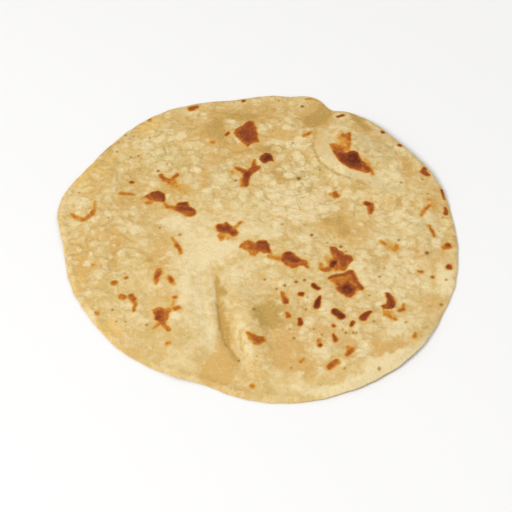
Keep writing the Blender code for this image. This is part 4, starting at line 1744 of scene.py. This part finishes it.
    def lay_tints(self, bench: NodeBench, crust: Crust) -> None:
        """Lays the tinted patches, each with a ragged edge; some tan and olive ones are painted shade in
        creases and troughs, some pale ones painted highlights on ridges and rim lips.

        Args:
            bench: Where the nodes go, and the colour so far.
            crust: The patterns of the dough.
        """
        for tint, paint in (
            (Tint.DULL, self.dull),
            (Tint.TAN, self.tan),
            (Tint.OLIVE, self.olive),
            (Tint.GOLD, self.gold),
            (Tint.PALE, self.pale),
        ):
            pushed = bench.plus(bench.amount(tint), bench.times(crust.ragged, 0.30))
            bench.lay(bench.times(bench.spread(pushed, 0.15, 0.58, smooth=True), self.patch_strength), paint)

    def lay_bubbles(self, bench: NodeBench, crust: Crust) -> None:
        """Lays painted highlights on the round top of each little bubble, and painted shade in the hollows
        and creases between them.

        Args:
            bench: Where the nodes go, and the colour so far.
            crust: The patterns of the dough.
        """
        # painted shade: the dry colour laid into the hollows between the bubbles
        bench.lay(crust.valley_shade, crust.dry)
        tan_and_olive = bench.plus(bench.amount(Tint.TAN), bench.amount(Tint.OLIVE))
        # painted highlight: paler colours on the round top of each bubble, less where tan or olive lies
        painted_bubble_light = bench.times(crust.dome, bench.spread(tan_and_olive, 0.35, 0.85, 1.0, 0.2))
        light, greenish = crust.tones
        bench.lay(bench.times(painted_bubble_light, bench.spread(light, 0.35, 0.8, 0.0, 0.50)), self.crumb_and_highlight)
        bench.lay(bench.times(painted_bubble_light, bench.spread(greenish, 0.5, 0.9, 0.0, 0.40)), self.green_highlight)
        # painted shade: a dark colour along the fine creases between the bubbles
        bench.lay(bench.times(crust.line, 0.72), self.crease)

    def lay_specks(self, bench: NodeBench, crust: Crust) -> None:
        """Lays the fine grain of the flour, and the dry flecks with their halo.

        Args:
            bench: Where the nodes go, and the colour so far.
            crust: The patterns of the dough.
        """
        grain = bench.noise(1.2, 3.0, 7.0, 0.65)
        bench.lay(bench.spread(grain, 0.54, 0.74, 0.0, 0.34), self.bran)
        bench.lay(bench.spread(grain, 0.46, 0.28, 0.0, 0.30), self.crumb_and_highlight)
        speck = bench.plus(bench.amount(Tint.FLECK), bench.times(crust.ragged, 0.10))
        bench.lay(bench.spread(speck, 0.08, 0.45, 0.0, 0.6), self.halo)
        bench.lay(bench.spread(speck, 0.35, 1.05), self.fleck)

    def lay_scorches(self, bench: NodeBench) -> None:
        """Lays the scorch marks: a golden fringe, then the colour of each heat, unevenly.

        Args:
            bench: Where the nodes go, and the colour so far.
        """
        heat = bench.amount(Tint.CHAR)
        waver = bench.spread(bench.noise(1.5, 4.0, 8.0, 0.7), 0.30, 0.70, -0.17, 0.17)
        drift = bench.spread(bench.noise(4.2, 2.0, 14.0), 0.32, 0.68, -0.15, 0.11)
        waver = bench.times(bench.plus(waver, drift), bench.spread(heat, 0.0, 0.3))
        waver = bench.times(waver, bench.spread(heat, 0.35, 0.95, 1.0, 0.35))
        char = bench.plus(heat, waver)
        bench.lay(bench.spread(char, 0.0, 0.12, 0.0, 0.45), self.halo)
        unburnt = bench.spread(bench.noise(2.6, 3.0, 15.0), 0.54, 0.68, 0.0, 0.28)
        baked = bench.mix(unburnt, bench.ramp(char, self.char), self.umber)
        bench.lay(bench.spread(char, 0.09, 0.38, smooth=True), baked)

    def material(self) -> bpy.types.Material:
        """Makes the material.

        Returns:
            The material, which reads the tints that the mesh carries.
        """
        bench = NodeBench("baked_dough")
        crust = self.crust(bench)
        self.lay_dough(bench, crust)
        self.lay_tints(bench, crust)
        self.lay_bubbles(bench, crust)
        self.lay_specks(bench, crust)
        self.lay_scorches(bench)
        bench.feed(bench.shader.inputs["Base Color"], bench.colour)
        matt, greasy = self.roughness + 0.08, self.roughness - 0.06
        uneven = bench.spread(bench.noise(2.2, 2.0, 9.0), 0.3, 0.7, greasy, matt)
        bench.feed(bench.shader.inputs["Roughness"], uneven)
        bench.shader.inputs["Specular IOR Level"].default_value = self.gloss
        bench.raise_surface(
            (crust.dome, 0.30),
            (crust.line, -0.12),
            (crust.pebble, 0.06),
            (crust.mottle, 0.50),
            (bench.spread(crust.flake, 0.40, 0.60, smooth=True), 0.12),
            (bench.noise(2.4, 3.0, 10.0), 0.24),
            (bench.noise(0.8, 2.0, 11.0), 0.10),
        )
        return bench.material


@dataclass(frozen=True)
class FloorFinish:
    """The plain pale floor."""

    colour: tuple = (0.90, 0.895, 0.885, 1.0)
    roughness: float = 0.75

    def material(self) -> bpy.types.Material:
        """Makes the material.

        Returns:
            The material.
        """
        bench = NodeBench("pale_floor")
        bench.shader.inputs["Base Color"].default_value = self.colour
        bench.shader.inputs["Roughness"].default_value = self.roughness
        return bench.material


# ---- The bread ----


def in_scene(name: str, data: bpy.types.ID) -> bpy.types.Object:
    """Puts a mesh, a lamp or a camera into the scene.

    Args:
        name: What its object is called.
        data: The mesh, the lamp or the camera.

    Returns:
        The object.
    """
    thing = bpy.data.objects.new(name, data)
    bpy.context.scene.collection.objects.link(thing)
    return thing


@dataclass
class Bread:
    """The whole chapati, one piece of baked dough.

    Attributes:
        sheet: Its broad form.
        top: Its upper face.
        under: Its underside.
        finish: Its dough.
        top_cells: Cells of the upper face along one side of the square it is bent from.
        under_cells: The same for the underside; half as many.
        rim_rings: Rings of points round the rim between the two faces.
        rim_bulge: How far the round rim stands out, in mm.
        shoulder_width: Width of the strip that rounds off towards the rim, in mm.
        shoulder_drop: How far the upper face falls there, in mm.
        heel_rise: How far the underside rises there, in mm.
        relief_margin: Width of the strip where the relief dies away, in mm.
        top_map: Middle and radius of the upper face on the flat map.
        under_map: The same for the underside.
        map_margin: How far the rim reaches out of the upper face on the map, in mm.
    """

    sheet: RolledSheet = field(default_factory=RolledSheet)
    top: BakedFace = field(default_factory=top_face)
    under: BakedFace = field(default_factory=under_face)
    finish: DoughFinish = field(default_factory=DoughFinish)
    top_cells: int = 270
    under_cells: int = 135
    rim_rings: int = 3
    rim_bulge: float = 0.55
    shoulder_width: float = 2.2
    shoulder_drop: float = 0.42
    heel_rise: float = 0.22
    relief_margin: float = 3.5
    top_map: tuple[float, float] = (0.362, 0.355)
    under_map: tuple[float, float] = (0.779, 0.215)
    map_margin: float = 3.0

    def blank(self) -> bmesh.types.BMesh:
        """The closed shell before it is bent: two squares joined by a rim, 1 apart.

        Returns:
            The shell, with x and y from -1 to 1 and z 0 below and 1 above.
        """
        shell = bmesh.new()
        cells = self.top_cells
        top = bmesh.ops.create_grid(shell, x_segments=cells, y_segments=cells, size=1.0)
        bmesh.ops.translate(shell, verts=top["verts"], vec=(0, 0, 1))
        cells = self.under_cells
        under = bmesh.ops.create_grid(shell, x_segments=cells, y_segments=cells, size=1.0)
        low = set(under["verts"])
        bmesh.ops.reverse_faces(shell, faces=[face for face in shell.faces if face.verts[0] in low])
        under_rim = [edge for edge in shell.edges if edge.is_boundary and edge.verts[0] in low]
        bmesh.ops.subdivide_edges(shell, edges=under_rim, cuts=self.top_cells // self.under_cells - 1)
        both_rims = [edge for edge in shell.edges if edge.is_boundary]
        joined = bmesh.ops.bridge_loops(shell, edges=both_rims)
        kept = set(both_rims)
        walls = [edge for edge in joined["edges"] if edge not in kept]
        bmesh.ops.subdivide_edges(shell, edges=walls, cuts=self.rim_rings, use_grid_fill=True)
        bmesh.ops.recalc_face_normals(shell, faces=shell.faces)
        return shell

    def bend(self, u: Array, v: Array, rise: Array) -> tuple[Array, ...]:
        """Bends the blank into the bread's broad form, in mm.

        Args:
            u: The blank's x.
            v: The blank's y.
            rise: The blank's z.

        Returns:
            x, y and z, the bearing in degrees, and the distance inside the rim.
        """
        unit_x, unit_y = self.sheet.disc(u, v)
        share = np.hypot(unit_x, unit_y)
        bearing = np.degrees(np.arctan2(unit_y, unit_x))
        mean = self.sheet.mean_radius - self.rim_bulge
        away = share * (mean + self.sheet.outline(bearing) * share**self.sheet.outline_power)
        away += self.sheet.raggedness(bearing) * share**self.sheet.ragged_power
        x = away * np.cos(np.radians(bearing))
        y = away * np.sin(np.radians(bearing))
        under = self.sheet.underside(x, y, share, bearing)
        inside = self.sheet.mean_radius * (1.0 - share)
        near_rim = np.clip(1.0 - inside / self.shoulder_width, 0.0, 1.0) ** 2
        low = under + self.heel_rise * near_rim
        high = under + self.sheet.dough(share) - self.shoulder_drop * near_rim
        bulge = self.rim_bulge * np.sqrt(np.clip(1.0 - (2.0 * rise - 1.0) ** 2, 0.0, 1.0))
        x += bulge * np.cos(np.radians(bearing))
        y += bulge * np.sin(np.radians(bearing))
        return x, y, low + (high - low) * rise, bearing, inside

    def place(self, x: Array, y: Array) -> tuple[Array, Array]:
        """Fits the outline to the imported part's box.

        Args:
            x: Places to the right, in mm.
            y: Places away, in mm.

        Returns:
            The fitted places.
        """
        low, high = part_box("chapati")
        fitted = []
        for axis, values in enumerate((x, y)):
            size = (high[axis] - low[axis]) / MM
            middle = (high[axis] + low[axis]) / 2 / MM
            own = values.max() - values.min()
            fitted.append((values - (values.max() + values.min()) / 2) * size / own + middle)
        return fitted[0], fitted[1]

    def build(self) -> bpy.types.Object:
        """Makes the bread's mesh, with its relief and the tints it carries.

        Returns:
            The finished piece.
        """
        shell = self.blank()
        mesh = bpy.data.meshes.new("baked_chapati")
        shell.to_mesh(mesh)
        shell.free()
        points = np.empty(len(mesh.vertices) * 3)
        mesh.vertices.foreach_get("co", points)
        u, v, rise = np.clip(points.reshape(-1, 3).T, -1.0, 1.0)
        x, y, z, bearing, inside = self.bend(u, v, rise)
        x, y = self.place(x, y)
        fade = smooth_step(inside, 0.0, self.relief_margin)
        amounts = {tint: np.zeros_like(x) for tint in Tint}
        for face, part in ((self.top, rise > 0.0), (self.under, rise <= 0.0)):
            relief = face.relief(x[part], y[part])
            z[part] += face.side.value * relief * np.where(rise[part] == 1.0, fade[part], 1.0)
            for tint, amount in face.amounts(x[part], y[part]).items():
                amounts[tint][part] = amount
        z += rise * sum(roll.at(bearing, inside) for roll in RIM_ROLLS)
        z = np.maximum(z, 0.0)
        mesh.vertices.foreach_set("co", np.stack((x, y, z), axis=1).ravel() * MM)
        for tint, amount in amounts.items():
            mesh.attributes.new(tint.value, "FLOAT", "POINT").data.foreach_set("value", amount)
        self.map_faces(mesh, x, y, rise)
        mesh.shade_smooth()
        mesh.update()
        return in_scene("baked_chapati", mesh)

    def map_faces(self, mesh: bpy.types.Mesh, x: Array, y: Array, rise: Array) -> None:
        """Gives the mesh a flat map: a disc for the top and its rim, a smaller one for the underside.

        Args:
            mesh: The bread's mesh.
            x: Its points' x, in mm.
            y: Its points' y, in mm.
            rise: Their height in the blank.
        """
        away = np.hypot(x, y)
        rim = away + self.map_margin * (1.0 - rise) * (rise < 1.0)
        widest = away.max() + self.map_margin
        corners = np.empty(len(mesh.loops), dtype=np.int32)
        mesh.loops.foreach_get("vertex_index", corners)
        starts = np.empty(len(mesh.polygons), dtype=np.int32)
        counts = np.empty(len(mesh.polygons), dtype=np.int32)
        mesh.polygons.foreach_get("loop_start", starts)
        mesh.polygons.foreach_get("loop_total", counts)
        underneath = np.repeat(np.maximum.reduceat(rise[corners], starts) == 0.0, counts)
        scale = np.where(underneath, self.under_map[1] / away.max(), self.top_map[1] / widest)
        middle = np.where(underneath, self.under_map[0], self.top_map[0])
        longer = np.where(underneath, 1.0, rim[corners] / np.maximum(away[corners], 1e-9))
        flat = np.stack((middle + x[corners] * longer * scale, middle + y[corners] * longer * scale), axis=1)
        mesh.uv_layers.new(name="OFBake").uv.foreach_set("vector", flat.ravel())

    def dress(self, bread: bpy.types.Object) -> None:
        """Gives the piece its dough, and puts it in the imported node's place.

        Args:
            bread: The finished piece.
        """
        bread.data.materials.append(self.finish.material())
        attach(bread, "root")
        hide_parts("chapati")


# ---- The studio ----


@dataclass(frozen=True)
class SoftBox:
    """One square soft lamp, in metres and watts."""

    name: str
    place: tuple[float, float, float]
    size: float
    power: float

    def build(self) -> bpy.types.Object:
        """Hangs the lamp, facing the bread.

        Returns:
            The lamp.
        """
        lamp = bpy.data.lights.new(self.name, "AREA")
        lamp.size = self.size
        lamp.energy = self.power
        holder = in_scene(self.name, lamp)
        holder.location = self.place
        holder.rotation_euler = Vector(self.place).to_track_quat("Z", "Y").to_euler()
        return holder


@dataclass
class Studio:
    """A plain pale floor, soft light and the camera.

    Attributes:
        floor_size: Half-side of the floor, in metres.
        sky: Brightness of the pale surroundings.
        lamps: The soft lamps.
        aim: The point the camera looks at, in metres.
        elevation: Its angle over the table, in degrees.
        distance: How far away it is, in metres.
        lens: Its focal length, in mm.
    """

    floor_size: float = 6.0
    sky: float = 0.62
    lamps: tuple[SoftBox, ...] = (
        SoftBox("key", (-1.05, -0.75, 1.25), 0.7, 17.0),
        SoftBox("fill", (1.1, 0.4, 1.5), 1.2, 5.0),
    )
    aim: tuple[float, float, float] = (0.0, -0.0105, -0.0015)
    elevation: float = 50.0
    distance: float = 0.80
    lens: float = 113.2

    def floor(self) -> bpy.types.Object:
        """Lays the floor.

        Returns:
            The floor, which isn't part of the object.
        """
        sheet = bmesh.new()
        bmesh.ops.create_grid(sheet, x_segments=1, y_segments=1, size=self.floor_size)
        mesh = bpy.data.meshes.new("floor")
        sheet.to_mesh(mesh)
        sheet.free()
        mesh.materials.append(FloorFinish().material())
        floor = in_scene("floor", mesh)
        return floor

    def surroundings(self) -> None:
        """Makes the pale surroundings and the plain colour scale."""
        world = bpy.data.worlds.new("pale_surroundings")
        world.use_nodes = True
        background = world.node_tree.nodes["Background"]
        background.inputs["Color"].default_value = (1.0, 1.0, 1.0, 1.0)
        background.inputs["Strength"].default_value = self.sky
        bpy.context.scene.world = world
        bpy.context.scene.view_settings.view_transform = "Standard"

    def camera(self) -> bpy.types.Object:
        """Sets up the camera.

        Returns:
            The camera, which the scene uses.
        """
        lens = bpy.data.cameras.new("camera")
        lens.lens = self.lens
        lens.sensor_width = 36.0
        lens.clip_start = 0.01
        holder = in_scene("camera", lens)
        lift = math.radians(self.elevation)
        back = Vector((0.0, -math.cos(lift), math.sin(lift)))
        holder.location = Vector(self.aim) + back * self.distance
        holder.rotation_euler = back.to_track_quat("Z", "Y").to_euler()
        bpy.context.scene.camera = holder
        return holder

    def build(self) -> None:
        """Lays the floor, hangs the lamps and sets up the camera."""
        self.surroundings()
        self.floor()
        for lamp in self.lamps:
            lamp.build()
        self.camera()


def main() -> None:
    """Builds the bread and the studio, and logs the bread's face count."""
    logging.basicConfig(level=logging.INFO, format="%(name)s: %(message)s")
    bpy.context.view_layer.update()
    baker = Bread()
    bread = baker.build()
    baker.dress(bread)
    log.info("%s: %d faces", bread.name, len(bread.data.polygons))
    Studio().build()
    log.info("studio: floor, lamps and camera")


if __name__ == "__main__":
    main()
